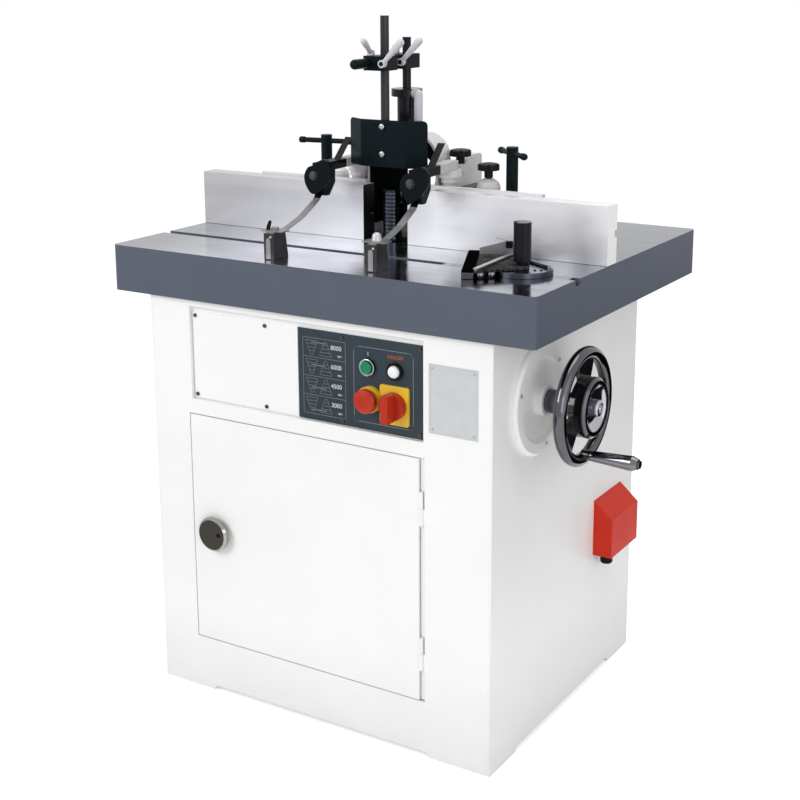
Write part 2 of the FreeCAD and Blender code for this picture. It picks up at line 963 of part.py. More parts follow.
def mitre_gear(axis, mesh, phase):
    # Straight-toothed cone gear with its apex at the crossing of the two axes
    apex = Vec(spindle_x, wheel_y, wheel_z)
    cone = gear_pitch_r * math.sqrt(2)
    inner = cone - gear_face
    module = 2 * gear_pitch_r / gear_teeth
    rise = addendum_share * module / cone
    sink = dedendum_share * module / cone
    half = tooth_share * math.pi * module / 4 / cone
    lean = math.tan(math.radians(flank_deg))
    foot = sink + tooth_sink / cone
    outline = [(-foot, half + foot * lean), (rise, half - rise * lean),
               (rise, rise * lean - half), (-foot, -half - foot * lean)]
    ends = [(cone + tooth_sink) / math.sqrt(2), (inner - tooth_sink) / math.sqrt(2)]
    root = [(dist * (1 - sink), dist * (1 + sink)) for dist in ends]
    back = root[0][1] + gear_hub
    profile = [(0, root[1][1]), root[1], root[0], (gear_hub_r, root[0][1]), (gear_hub_r, back), (0, back)]
    pieces = [turned(profile, apex, axis)]
    side = axis.cross(mesh)
    for index in range(gear_teeth):
        turn = 2 * math.pi * (index + phase) / gear_teeth
        radial = mesh * math.cos(turn) + side * math.sin(turn)
        across = axis.cross(radial)
        element = (axis + radial) * (1 / math.sqrt(2))
        outward = (radial - axis) * (1 / math.sqrt(2))
        rings = [[apex + (element + outward * u + across * v) * dist for u, v in outline]
                 for dist in (cone, inner)]
        pieces.append(tapered_block(rings[0], rings[1]))
    return joined(pieces), back


def lead_screw():
    gear = mitre_gear(Vec(0, 0, -1), X_AXIS, 0.5)[0]
    low = Vec(spindle_x, wheel_y, tie_low)
    shoulder = Vec(spindle_x, wheel_y, tie_high + clear)
    high = Vec(spindle_x, wheel_y, way_top - clear)
    return joined([
        gear, rod(screw_shaft_r, shoulder, high), rod(screw_journal_r, low, shoulder),
        rod(screw_journal_r, high, Vec(spindle_x, wheel_y, table_under - clear))])


def handwheel_shaft():
    gear, back = mitre_gear(X_AXIS, Vec(0, 0, -1), 0)
    start = Vec(spindle_x + back - gear_hub, wheel_y, wheel_z)
    end = Vec(bell_face - bell_sink + wheel_nut_h, wheel_y, wheel_z)
    return joined([gear, rod(wheel_shaft_r, start, end)])


def quill_housing():
    centre = Vec(spindle_x, spindle_y, quill_low)
    tube = rod(quill_r, centre, Vec(spindle_x, spindle_y, quill_high))
    lift_half = guide_span / 2 + guide_r + lift_wall
    block_front = guide_y - guide_r - lift_wall
    lift = block(spindle_x - lift_half, spindle_x + lift_half, block_front, spindle_y, lift_low, lift_high)
    boss = rod(nut_boss_r, Vec(spindle_x, wheel_y, lift_low), Vec(spindle_x, wheel_y, lift_high))
    plate = block(spindle_x - motor_plate_half, spindle_x + motor_plate_half, spindle_y,
                  motor_y + motor_r + motor_plate_rim, quill_low, motor_floor)
    body = joined([tube, lift, boss, plate])
    cuts = [rod(quill_bore_r + fit, centre - Z_AXIS * over, Vec(spindle_x, spindle_y, quill_high + over)),
            rod(screw_shaft_r + fit, Vec(spindle_x, wheel_y, lift_low - over),
                Vec(spindle_x, wheel_y, lift_high + over)),
            rod(motor_hole_r, Vec(spindle_x, motor_y, quill_low - over),
                Vec(spindle_x, motor_y, motor_floor + over))]
    for side in (-1, 1):
        foot = Vec(spindle_x + side * guide_span / 2, guide_y, lift_low - over)
        cuts.append(rod(guide_r + fit, foot, Vec(foot.x, foot.y, lift_high + over)))
    return without(body, cuts)


def spindle_bearings():
    rings = []
    for low in (quill_low + bearing_inset, quill_high - bearing_inset - bearing_h):
        start = Vec(spindle_x, spindle_y, low)
        rings.append(pipe(quill_bore_r, spindle_r + fit, start, start + Z_AXIS * bearing_h))
    return Part.makeCompound(rings)


def spindle_shaft():
    foot = Vec(spindle_x, spindle_y, pulley_low)
    flange = Vec(spindle_x, spindle_y, flange_low)
    nose = Vec(spindle_x, spindle_y, nose_low)
    return joined([rod(spindle_r, foot, flange), rod(flange_r, flange, nose),
                   rod(nose_r, nose, Vec(spindle_x, spindle_y, nose_top))])


def stacked_rings(radius, count, low, high):
    rings = []
    step = (high - low) / count
    for index in range(count):
        start = Vec(spindle_x, spindle_y, low + index * step)
        rings.append(pipe(radius, nose_r + fit, start, start + Z_AXIS * step))
    return rings


def spindle_collars():
    top = Vec(spindle_x, spindle_y, nose_top + nut_proud)
    seat = top - Z_AXIS * nut_h
    shelf = table_top - spacer_stop
    rings = stacked_rings(spacer_r, spacer_count, nose_low, shelf)
    rings += stacked_rings(upper_spacer_r, upper_spacer_count, shelf, seat.z)
    nut = rod(nut_r, seat, top).cut(rod(nose_r + fit, seat, Vec(spindle_x, spindle_y, nose_top)))
    return Part.makeCompound(rings + [nut])


def step_pulley(y, radii, bore):
    start = Vec(spindle_x, y, pulley_low)
    steps = []
    for index, radius in enumerate(radii):
        low = start + Z_AXIS * (step_h * index)
        steps.append(rod(radius, low, low + Z_AXIS * step_h))
    return joined(steps).cut(rod(bore, start, start + Z_AXIS * (step_h * len(radii))))


def spindle_pulley():
    return step_pulley(spindle_y, step_radii, spindle_r + fit)


def motor_pulley():
    wheel = step_pulley(motor_y, step_radii[::-1], motor_shaft_r)
    start = Vec(spindle_x, motor_y, pulley_low)
    return joined([wheel, rod(motor_shaft_r, start, Vec(spindle_x, motor_y, motor_floor + motor_socket))])


def belt_loop(small_y, small_r, large_y, large_r):
    # Area inside two circles and their outer tangents
    reach = large_y - small_y
    tilt = math.asin((large_r - small_r) / reach)
    points = []
    for side in (-1, 1):
        for y, radius in ((small_y, small_r), (large_y, large_r))[::side]:
            touch_x = spindle_x + side * radius * math.cos(tilt)
            points.append(Vec(touch_x, y - radius * math.sin(tilt), belt_low))
    up = Z_AXIS * belt_width
    circles = [rod(radius, Vec(spindle_x, y, belt_low), Vec(spindle_x, y, belt_low + belt_width))
               for y, radius in ((small_y, small_r), (large_y, large_r))]
    return joined([prism(points, up)] + circles)


def drive_belt():
    small = step_radii[belt_step] + clear
    large = step_radii[::-1][belt_step] + clear
    outer = belt_loop(spindle_y, small + belt_thick, motor_y, large + belt_thick)
    return outer.cut(belt_loop(spindle_y, small, motor_y, large))


def motor_body():
    foot = Vec(spindle_x, motor_y, motor_floor)
    core = rod(motor_r - fin_h, foot, foot + Z_AXIS * motor_len)
    ends = [pipe(motor_r, motor_hole_r, foot, foot + Z_AXIS * motor_flange),
            rod(motor_r, foot + Z_AXIS * (motor_len - cowl_len), foot + Z_AXIS * motor_len)]
    fins = []
    for index in range(fin_count):
        fin = block(spindle_x - fin_t / 2, spindle_x + fin_t / 2, motor_y + motor_r / 2, motor_y + motor_r,
                    motor_floor, motor_floor + motor_len)
        fins.append(swung(fin, 360 / fin_count * index, foot, Z_AXIS))
    low = motor_floor + (motor_len - terminal_len) / 2
    box = block(spindle_x, spindle_x + motor_r + terminal_proud, motor_y - terminal_half,
                motor_y + terminal_half, low, low + terminal_len)
    socket = rod(motor_shaft_r + fit, foot - Z_AXIS * over, foot + Z_AXIS * (motor_socket + clear))
    return joined([core] + ends + fins + [box]).cut(socket)


# Handwheel side
def handwheel_flange():
    floor = dish_h - dish_sink
    profile = [(0, -spigot_len), (spigot_r, -spigot_len), (spigot_r, 0), (dish_r, 0),
               (dish_r, dish_h - dish_round), (dish_r - dish_round, dish_h), (dish_r - dish_rim, dish_h),
               (dish_r - dish_rim - dish_sink, floor), (dish_hub_r, floor), (dish_hub_r, dish_hub_h),
               (0, dish_hub_h)]
    centre = Vec(half_wide, wheel_y, wheel_z)
    body = turned(profile, centre, X_AXIS)
    return body.cut(rod(wheel_shaft_r + fit, centre - X_AXIS * (spigot_len + over),
                        centre + X_AXIS * (dish_hub_h + over)))


def wheel_point(x, radius, degrees):
    turn = math.radians(degrees)
    return Vec(x, wheel_y + radius * math.sin(turn), wheel_z + radius * math.cos(turn))


def handwheel():
    centre = Vec(rim_x, wheel_y, wheel_z)
    rim = Part.makeTorus(rim_r, rim_tube_r, centre, X_AXIS)
    web = rod(rim_r, centre - X_AXIS * (web_thick / 2), centre + X_AXIS * (web_thick / 2))
    for index in range(spoke_count):
        middle = 360 / spoke_count * (index + 0.5)
        low, high = middle - spoke_half_deg, middle + spoke_half_deg
        bulge = rim_r / math.cos(math.radians(spoke_half_deg))
        corners = [(bell_r, low), (rim_r, low), (bulge, middle), (rim_r, high), (bell_r, high)]
        window = prism([wheel_point(rim_x - web_thick, radius, turn) for radius, turn in corners],
                       X_AXIS * (2 * web_thick))
        web = web.cut(window)
    bell = turned([(0, -web_thick / 2), (bell_r, -web_thick / 2), (bell_r, bell_h - bell_round),
                   (bell_r - bell_round, bell_h), (bell_in_r, bell_h), (bell_in_r, bell_h - bell_sink),
                   (0, bell_h - bell_sink)], centre, X_AXIS)
    sleeve = rod(sleeve_r, Vec(hub_face + sleeve_gap, wheel_y, wheel_z), centre)
    pin_start = wheel_point(rim_x, crank_r, crank_turn_deg)
    head = pin_start + X_AXIS * (rim_tube_r + crank_start + crank_len + clear)
    pin = rod(crank_pin_r, pin_start, head)
    pin_head = rod(crank_head_r, head, head + X_AXIS * crank_head_h)
    boss = rod(crank_thin_r, pin_start, pin_start + X_AXIS * (rim_tube_r + crank_start - clear))
    wheel = joined([web, rim, bell, sleeve, pin, pin_head, boss])
    nut_seat = Vec(bell_face - bell_sink, wheel_y, wheel_z)
    nut = pipe(wheel_nut_r, wheel_shaft_r, nut_seat, nut_seat + X_AXIS * wheel_nut_h)
    return joined([wheel, nut]).cut(rod(wheel_shaft_r + fit, Vec(half_wide, wheel_y, wheel_z),
                                        Vec(bell_face + over, wheel_y, wheel_z)))


def crank_grip():
    start = wheel_point(rim_x, crank_r, crank_turn_deg) + X_AXIS * (rim_tube_r + crank_start)
    profile = [(crank_pin_r + fit, 0), (crank_thin_r, 0), (crank_fat_r, crank_len * crank_tip_share),
               (crank_thin_r, crank_len), (crank_pin_r + fit, crank_len)]
    return turned(profile, start, X_AXIS)


def supply_box():
    outer_x = half_wide + supply_depth
    points = [(half_wide, supply_low), (outer_x, supply_low), (outer_x, supply_high - supply_slope),
              (half_wide, supply_high)]
    shell = prism([Vec(x, supply_front, z) for x, z in points], Y_AXIS * (supply_back - supply_front))
    inner_x = outer_x - supply_wall
    floor = supply_low + supply_wall
    roof = supply_high - supply_wall
    inside = [(half_wide - over, floor), (inner_x, floor), (inner_x, roof - supply_slope),
              (half_wide - over, roof)]
    hollow = prism([Vec(x, supply_front + supply_wall, z) for x, z in inside],
                   Y_AXIS * (supply_back - supply_front - 2 * supply_wall))
    gland_top = Vec(half_wide + supply_depth / 2, supply_front + gland_inset, supply_low + supply_wall)
    gland_end = gland_top - Z_AXIS * (gland_len + supply_wall)
    gland = rod(gland_r, gland_end, gland_top)
    bore = rod(gland_bore_r, gland_end - Z_AXIS * over, gland_top + Z_AXIS * over)
    return joined([shell.cut(hollow), gland]).cut(bore)


# Fence plates, carriers and casting
def fence_plate(left, right):
    top = fence_floor + fence_high
    plate = block(left, right, face_y, fence_rear, fence_floor, top)
    middle = table_top + groove_z
    groove = block(left - over, right + over, fence_rear - groove_deep, fence_rear + over,
                   middle - groove_wide / 2, middle + groove_wide / 2)
    return plate.cut(groove)


def left_fence_plate():
    return fence_plate(-table_width / 2, spindle_x - gap_left)


def right_fence_plate():
    left = spindle_x + gap_right
    top = fence_floor + fence_high
    corner = [Vec(left - over, face_y - over, top + over), Vec(left + cut_wide, face_y - over, top + over),
              Vec(left + cut_wide, face_y - over, top), Vec(left, face_y - over, top - cut_high),
              Vec(left - over, face_y - over, top - cut_high)]
    return fence_plate(left, table_width / 2).cut(prism(corner, Y_AXIS * (fence_thick + 2 * over)))


def carrier(side):
    inner = spindle_x + side * carrier_in
    outer = spindle_x + side * carrier_out
    left, right = min(inner, outer), max(inner, outer)
    middle = table_top + groove_z
    key_half = groove_wide / 2 - clear
    return [block(left, right, fence_rear, carrier_rear, fence_floor, table_top + carrier_high),
            block(left, right, fence_rear - key_deep, fence_rear, middle - key_half, middle + key_half)]


def fence_foot(side, front):
    inner = spindle_x + side * base_in
    outer = spindle_x + side * base_out
    foot = block(min(inner, outer), max(inner, outer), front, base_back, fence_floor, base_top)
    place = stud_place(side)
    half = stud_r + clear
    low, high = place.y - slot_front, place.y + slot_back
    slot = joined([block(place.x - half, place.x + half, low, high, table_top - over, base_top + over),
                   rod(half, Vec(place.x, low, table_top - over), Vec(place.x, low, base_top + over)),
                   rod(half, Vec(place.x, high, table_top - over), Vec(place.x, high, base_top + over))])
    return foot.cut(slot)


def support_arm(side):
    near = spindle_x + side * arm_in
    far = spindle_x + side * (arm_in + arm_wide)
    left, right = min(near, far), max(near, far)
    outline = [(arm_front, base_top - over), (arm_front, table_top + arm_front_high),
               (arm_crest_y, table_top + arm_back_high), (base_back, table_top + arm_back_high),
               (base_back, base_top - over)]
    arm = prism([Vec(left, y, z) for y, z in outline], X_AXIS * (right - left))
    crest = table_top + arm_front_high
    return rounded(arm, arm_round, lambda box: along_x(box) and box.ZMin > crest + tiny)


def pillar_place(side):
    return Vec(spindle_x + side * pillar_off, pillar_y, base_top)


def pillar(side):
    foot = pillar_place(side)
    low = Vec(foot.x, foot.y, disc_low)
    high = low + Z_AXIS * disc_low_h
    top = Vec(foot.x, foot.y, disc_top)
    return joined([rod(pillar_r, foot - Z_AXIS * over, low), rod(disc_low_r, low, high),
                   rod(disc_r, high, top), rod(pivot_r, top, Vec(foot.x, foot.y, table_top + hold_high))])


def dome_top(side):
    return Vec(spindle_x + side * dome_off, dome_y, table_top + dome_high + dome_crown)


def knob_dome(side):
    top = dome_top(side)
    foot = Vec(top.x, top.y, base_top - over)
    wall_h = top.z - dome_crown - foot.z
    crown = [(r, wall_h + h) for r, h in ball_top(dome_r, dome_crown)]
    body = turned([(0, 0), (dome_r, 0), (dome_r, wall_h)] + crown + [(0, wall_h + dome_crown)], foot, Z_AXIS)
    return body.cut(rod(lever_neck_r + fit, top - Z_AXIS * round_knob_stem, top + Z_AXIS * over))


def lock_knob_place():
    rise = (lock_knob_y - arm_front) / (arm_crest_y - arm_front)
    height = arm_front_high + (arm_back_high - arm_front_high) * rise + arm_round
    return Vec(spindle_x + lock_knob_off, lock_knob_y, table_top + height)


def fence_half(side, front):
    return [fence_foot(side, front), support_arm(side), pillar(side), knob_dome(side)]


def fence_body():
    bridge = block(spindle_x - base_in, spindle_x + base_in, bridge_front, base_back, fence_floor, base_top)
    seat = lock_knob_place()
    boss = rod(lock_boss_r, seat - Z_AXIS * (2 * arm_round), seat)
    socket = rod(lever_neck_r + fit, seat - Z_AXIS * round_knob_stem, seat + Z_AXIS * over)
    left_half = joined(carrier(-1) + fence_half(-1, carrier_rear - over))
    right_half = joined(fence_half(1, carrier_rear + right_foot_gap) + [boss]).cut(socket)
    return Part.makeCompound([left_half, right_half, bridge])


def right_carrier():
    left = spindle_x + slide_bar_off
    low = table_top + slide_bar_z
    bar = block(left, left + slide_bar_wide, fence_rear, carrier_rear + slide_bar_len,
                low, low + slide_bar_high)
    return joined(carrier(1) + [bar])


def round_knob(place, stem_len):
    crown = [(r, round_knob_h - round_knob_crown + h) for r, h in ball_top(round_knob_r, round_knob_crown)]
    start = place + Z_AXIS * stem_len
    cap = turned([(0, 0), (round_knob_r, 0), (round_knob_r, round_knob_h - round_knob_crown)] + crown
                 + [(0, round_knob_h)], start, Z_AXIS)
    for index in range(knob_lobes):
        turn = 2 * math.pi * index / knob_lobes
        edge = start + Vec(math.cos(turn), math.sin(turn), 0) * round_knob_r
        cap = cap.cut(rod(lobe_r, edge - Z_AXIS * over, edge + Z_AXIS * (round_knob_h + over)))
    stem = rod(round_knob_stem_r, place + Z_AXIS * clear, start)
    thread = rod(lever_neck_r, place - Z_AXIS * (round_knob_stem - over), start)
    return joined([cap, stem, thread])


def fence_lock_knob():
    return round_knob(lock_knob_place(), round_knob_stem)


def fence_adjust_knob():
    return round_knob(dome_top(1), round_knob_stem)


def clamp_handle(side, degrees):
    foot = Vec(spindle_x + side * stud_off, stud_y, base_top + clear)
    top = Vec(foot.x, foot.y, table_top + sleeve_top)
    bore_top = Vec(foot.x, foot.y, table_top + stud_proud + clear)
    sleeve = rod(tee_sleeve_r, foot, top).cut(rod(stud_r + fit, foot, bore_top))
    centre = top - Z_AXIS * tee_drop
    turn = math.radians(degrees)
    reach = Vec(math.cos(turn), math.sin(turn), 0) * (tee_len / 2)
    bar = rod(tee_bar_r, centre - reach, centre + reach)
    return joined([sleeve, bar])


def hood_outline(inset, front, back):
    shape = block(spindle_x - hood_half + inset, spindle_x + hood_half - inset, front, back, base_top,
                  hood_crest - inset)
    return rounded(shape, hood_round - inset, lambda box: along_y(box) and box.ZMin > base_top + tiny)


# Two side walls, a curved crown and a back wall with the outlet, welded edge to edge
def dust_hood():
    left = spindle_x - hood_half
    right = spindle_x + hood_half
    back_front = hood_back - hood_wall
    shoulder = hood_crest - hood_round
    sides = [block(left, left + hood_wall, hood_front, back_front, base_top, shoulder),
             block(right - hood_wall, right, hood_front, back_front, base_top, shoulder)]
    hoop = hood_outline(0, hood_front, back_front).cut(hood_outline(hood_wall, hood_front - over,
                                                                    back_front + over))
    crown = hoop.common(block(left, right, hood_front, back_front, shoulder, hood_crest))
    centre = Vec(spindle_x, back_front, table_top + port_z)
    port_end = centre + Y_AXIS * (hood_wall + port_len)
    hole = rod(port_r - port_wall, centre - Y_AXIS * over, port_end + Y_AXIS * over)
    back = joined([hood_outline(0, back_front, hood_back), rod(port_r, centre, port_end)]).cut(hole)
    return Part.makeCompound(sides + [crown.Solids[0], back])


# Guard post, arm and guard
def guard_post():
    foot = Vec(spindle_x, post_y, hood_crest)
    top = Vec(spindle_x, post_y, post_top)
    collar = Vec(spindle_x, post_y, collar_top)
    return joined([rod(post_r, foot, top), rod(post_collar_r, top, collar),
                   rod(guard_rod_r, collar, Vec(spindle_x, post_y, rod_top))])


def clamp_block(front, back):
    return block(spindle_x - clamp_left, spindle_x + clamp_right, front, back, clamp_z - clamp_half_h,
                 clamp_z + clamp_half_h)


def rod_bore(y):
    return rod(guard_rod_r + fit, Vec(spindle_x, y, clamp_z - clamp_half_h - over),
               Vec(spindle_x, y, clamp_z + clamp_half_h + over))


def lever_seat(front):
    return Vec(spindle_x + lever_off, front, clamp_z)


def rear_clamp():
    body = rounded(clamp_block(rear_clamp_front, rear_clamp_back), clamp_corner, upright)
    bar_x = spindle_x - bar_off
    bore = rod(bar_r + fit, Vec(bar_x, rear_clamp_front - over, clamp_z),
               Vec(bar_x, rear_clamp_back + over, clamp_z))
    seat = lever_seat(rear_clamp_front)
    return without(body, [bore, rod_bore(post_y), rod(lever_neck_r + fit, seat - Y_AXIS * over,
                                                      seat + Y_AXIS * lever_neck)])


def arm_lever_place():
    return Vec(spindle_x - bar_off, arm_lever_y, clamp_z + clamp_half_h)


def guard_arm():
    bar_x = spindle_x - bar_off
    bar = rod(bar_r, Vec(bar_x, bar_front, clamp_z), Vec(bar_x, bar_back, clamp_z))
    nose = Part.makeSphere(bar_r, Vec(bar_x, bar_front, clamp_z))
    body = rounded(clamp_block(front_clamp_front, front_clamp_back), clamp_corner, upright)
    seat = lever_seat(front_clamp_front)
    top = arm_lever_place()
    return without(joined([body, bar, nose]), [
        rod_bore(guard_rod_y), rod(lever_neck_r + fit, seat - Y_AXIS * over, seat + Y_AXIS * lever_neck),
        rod(lever_neck_r + fit, top - Z_AXIS * lever_neck, top + Z_AXIS * over)])


def guard_face():
    return guard_rod_y - guard_rod_r - guard_thick


def guard_rod():
    foot = Vec(spindle_x, guard_rod_y, guard_low)
    return rod(guard_rod_r, foot, Vec(spindle_x, guard_rod_y, guard_rod_top))


def guard_plate():
    face = guard_face()
    height = guard_high - guard_low
    pieces = [block(spindle_x - guard_half, spindle_x + guard_half, face, face + guard_thick,
                    guard_low, guard_high)]
    for side in (-1, 1):
        hinge = Vec(spindle_x + side * guard_half, face, guard_low)
        start = hinge.x if side > 0 else hinge.x - guard_wing
        wing = block(start, start + guard_wing, face, face + guard_thick, guard_low, guard_high)
        outer = hinge.x + side * guard_wing
        wing = rounded(wing, guard_corner, lambda box: along_y(box) and abs(box.XMin - outer) < tiny
                       and box.ZMin > guard_low + height / 2)
        pieces.append(swung(wing, side * guard_wing_deg, hinge, Z_AXIS))
    for z in (guard_screw_low, guard_screw_high):
        seat = Vec(spindle_x, face, z)
        pieces.append(rod(guard_screw_r, seat - Y_AXIS * guard_screw_h, seat))
    return joined(pieces)


# Clamping levers
def clamp_lever(seat, outward, direction):
    # A stub, a hub and a tapered arm; the hub stands just off its seat
    start = seat + outward * clear
    hub = rod(lever_hub_r, start, start + outward * lever_hub_h)
    stub = rod(lever_neck_r, seat - outward * (lever_neck - clear), start)
    root = start + outward * (lever_hub_h / 2)
    arm = Part.makeCone(lever_r, lever_tip_r, lever_len, root, direction)
    tip = Part.makeSphere(lever_tip_r, root + direction * lever_len)
    return joined([hub, stub, arm, tip])


def tilted_up():
    turn = math.radians(lever_tilt_deg)
    return Vec(math.sin(turn), 0, math.cos(turn))


def rear_lever():
    return clamp_lever(lever_seat(rear_clamp_front), Vec(0, -1, 0), tilted_up())


def front_lever():
    return clamp_lever(lever_seat(front_clamp_front), Vec(0, -1, 0), tilted_up())


def arm_lever():
    turn = math.radians(arm_lever_deg)
    lift = math.radians(arm_lever_tilt_deg)
    direction = Vec(math.cos(turn) * math.cos(lift), math.sin(turn) * math.cos(lift), math.sin(lift))
    return clamp_lever(arm_lever_place(), Z_AXIS, direction)


def post_lever():
    turn = math.radians(post_lever_deg)
    outward = Vec(math.cos(turn), math.sin(turn), 0)
    seat = Vec(spindle_x, post_y, post_top + post_collar_h / 2) + outward * (post_collar_r + clear)
    elbow = seat + outward * post_lever_reach
    tip = elbow - Z_AXIS * post_lever_drop
    return joined([rod(post_lever_r, seat, elbow), Part.makeSphere(post_lever_r, elbow),
                   rod(post_lever_r, elbow, tip), Part.makeSphere(post_lever_r, tip)])


# Spring hold-downs, one on each pillar
def hold_turned(shape, side):
    return swung(shape, hold_right_deg if side > 0 else hold_left_deg, pillar_place(side), Z_AXIS)


def cheek_face(place):
    # Rounded plate in front of the spring, drawn through points as shares of its width and height
    points = [Vec(place.x + x * face_wide, cheek_front, table_top + face_low + z * face_tall)
              for x, z in face_shares]
    curve = Part.BSplineCurve()
    curve.interpolate(Points=points, PeriodicFlag=True)
    return Part.Face(Part.Wire(curve.toShape())).extrude(Y_AXIS * -face_thick)


def cheek_core(place):
    outline = [(cheek_back, cheek_top - cheek_round / 2), (cheek_back - cheek_round / 2, cheek_top),
               (cheek_front, cheek_top), (cheek_front, cheek_low), (point_y, point_z), (point_back, point_z),
               (cheek_back, cheek_heel)]
    return prism([Vec(place.x - hold_half, y, table_top + z) for y, z in outline], X_AXIS * (2 * hold_half))


def hold_arm(side):
    place = pillar_place(side)
    low = disc_top + clear
    high = table_top + hold_high
    eye = rod(hold_eye_r, Vec(place.x, place.y, low), Vec(place.x, place.y, high))
    link = block(place.x - hold_half, place.x + hold_half, cheek_back - cheek_round, place.y, low, high)
    seat = Vec(place.x + cheek_bolt_off, cheek_front - face_thick, table_top + cheek_bolt_z)
    bolt = rod(cheek_bolt_r, seat - Y_AXIS * cheek_bolt_h, seat)
    bore = rod(pivot_r + fit, Vec(place.x, place.y, low - over), Vec(place.x, place.y, high + over))
    body = joined([eye, link, cheek_core(place), cheek_face(place), bolt])
    return hold_turned(without(body, [bore, strip(place, clear)]), side)


def strip(place, grow):
    # Flat spring along its bent path, thick across the path and wide along X
    half = strip_thick / 2 + grow
    wide = strip_half + grow
    end_z = shoe_top - table_top + strip_thick / 2
    places = [(tail_y, tail_z), (lip_y, lip_z), (sag_y, sag_z), (bend_y, bend_z), (flat_y, end_z),
              (strip_end_y, end_z)]
    path = [Vec(place.x - wide, y, table_top + z) for y, z in places]
    pieces = []
    for start, end in zip(path, path[1:]):
        along = (end - start).normalize()
        across = X_AXIS.cross(along) * half
        corners = [start + across, end + across, end - across, start - across]
        pieces.append(prism(corners, X_AXIS * (2 * wide)))
    for bend in path[1:-1]:
        pieces.append(rod(half, bend, bend + X_AXIS * (2 * wide)))
    return joined(pieces)


def spring(side):
    place = pillar_place(side)
    top = shoe_top + strip_thick
    washer = block(place.x - washer_half, place.x + washer_half, shoe_bolt_y - washer_deep / 2,
                   shoe_bolt_y + washer_deep / 2, top, top + washer_h)
    seat = Vec(place.x, shoe_bolt_y, top + washer_h)
    head = rod(shoe_bolt_r, seat, seat + Z_AXIS * shoe_bolt_h)
    shank = rod(shoe_tap_r, Vec(place.x, shoe_bolt_y, shoe_top - shoe_tap), seat)
    return hold_turned(joined([strip(place, 0), washer, head, shank]), side)


def shoe(side):
    place = pillar_place(side)
    outline = [(shoe_front, 0), (shoe_back, 0), (shoe_top_back, shoe_high), (shoe_front, shoe_high)]
    body = prism([Vec(place.x - shoe_half, y, shoe_floor + z) for y, z in outline], X_AXIS * (2 * shoe_half))
    tap = Vec(place.x, shoe_bolt_y, shoe_top)
    hole = rod(shoe_tap_r + fit, tap - Z_AXIS * (shoe_tap + clear), tap + Z_AXIS * over)
    return hold_turned(body.cut(hole), side)


# Mitre gauge
def bent_rod(radius, bend, points):
    # Round bar along straight runs joined by arcs
    edges = []
    start = points[0]
    for before, corner, after in zip(points, points[1:], points[2:]):
        into = (corner - before).normalize()
        out = (after - corner).normalize()
        turn = into.getAngle(out)
        trim = bend * math.tan(turn / 2)
        middle = corner + (out - into).normalize() * (bend / math.cos(turn / 2) - bend)
        edges.append(Part.LineSegment(start, corner - into * trim).toShape())
        edges.append(Part.Arc(corner - into * trim, middle, corner + out * trim).toShape())
        start = corner + out * trim
    edges.append(Part.LineSegment(start, points[-1]).toShape())
    section = Part.Wire(Part.makeCircle(radius, points[0], points[1] - points[0]))
    return Part.Wire(edges).makePipeShell([section], True, False)


def mitre_bar():
    half = slot_width / 2 - gauge_bar_play
    low = table_top - slot_depth + gauge_bar_play
    bar = block(gauge_x + gauge_bar_left, gauge_x + gauge_bar_right, slot_y - half, slot_y + half,
                low, table_top)
    disc = rod(gauge_base_r, gauge_pivot, Vec(gauge_x, slot_y, gauge_base_top))
    pivot = rod(gauge_pivot_r, Vec(gauge_x, slot_y, table_top - over), Vec(gauge_x, slot_y, gauge_head_top))
    stud_foot = Vec(gauge_x, slot_y, gauge_head_top)
    stud = rod(handle_stud_r, stud_foot, stud_foot + Z_AXIS * handle_stud)
    level = gauge_base_top + hook_rise
    start = Vec(gauge_x + hook_start_x, slot_y + hook_start_y, level)
    elbow = Vec(gauge_x + hook_end_x, slot_y + hook_end_y, level)
    hook = bent_rod(hook_r, hook_bend, [start, elbow, Vec(elbow.x, elbow.y, gauge_floor)])
    return joined([bar, disc, pivot, stud, hook])


def turned_head(shape):
    return swung(shape, gauge_turn_deg, gauge_pivot, Z_AXIS)


def gauge_prism(points, low, high):
    return prism([Vec(gauge_x + x, slot_y + y, low) for x, y in points], Z_AXIS * (high - low))


def mitre_fence():
    bar = gauge_prism([(fence_bar_left, fence_bar_front), (fence_bar_right, fence_bar_front),
                       (fence_bar_right, fence_bar_back), (fence_bar_left, fence_bar_back)],
                      gauge_floor, gauge_head_top)
    web = gauge_prism([(fence_bar_right, fence_bar_front), (web_near, -web_half), (web_near, web_half),
                       (brace_near, stop_back), (fence_bar_right, stop_back)], gauge_web_low, gauge_head_top)
    bore = rod(gauge_pivot_r + fit, gauge_pivot, Vec(gauge_x, slot_y, gauge_head_top + over))
    return turned_head(joined([bar, web]).cut(bore))


def mitre_stop():
    front = stop_back - stop_thick
    left = fence_bar_right
    top = gauge_head_top
    outline = [(left, top), (brace_near, top), (brace_near, top + stop_high_h),
               (brace_near - stop_flat, top + stop_high_h), (left, top + stop_low_h)]
    plate = prism([Vec(gauge_x + x, slot_y + front, z) for x, z in outline], Y_AXIS * stop_thick)
    brace = gauge_prism([(left, fence_bar_front), (left + brace_wide, fence_bar_front), (brace_near, front),
                         (brace_near - brace_wide, front)], top, top + brace_h)
    return turned_head(joined([plate, brace]))


def mitre_handle():
    foot = Vec(gauge_x, slot_y, gauge_head_top + clear)
    neck = foot + Z_AXIS * handle_neck
    grip = joined([rod(handle_neck_r, foot, neck), rod(handle_r, neck, neck + Z_AXIS * handle_high)])
    return grip.cut(rod(handle_stud_r + fit, foot - Z_AXIS * over, foot + Z_AXIS * handle_stud))


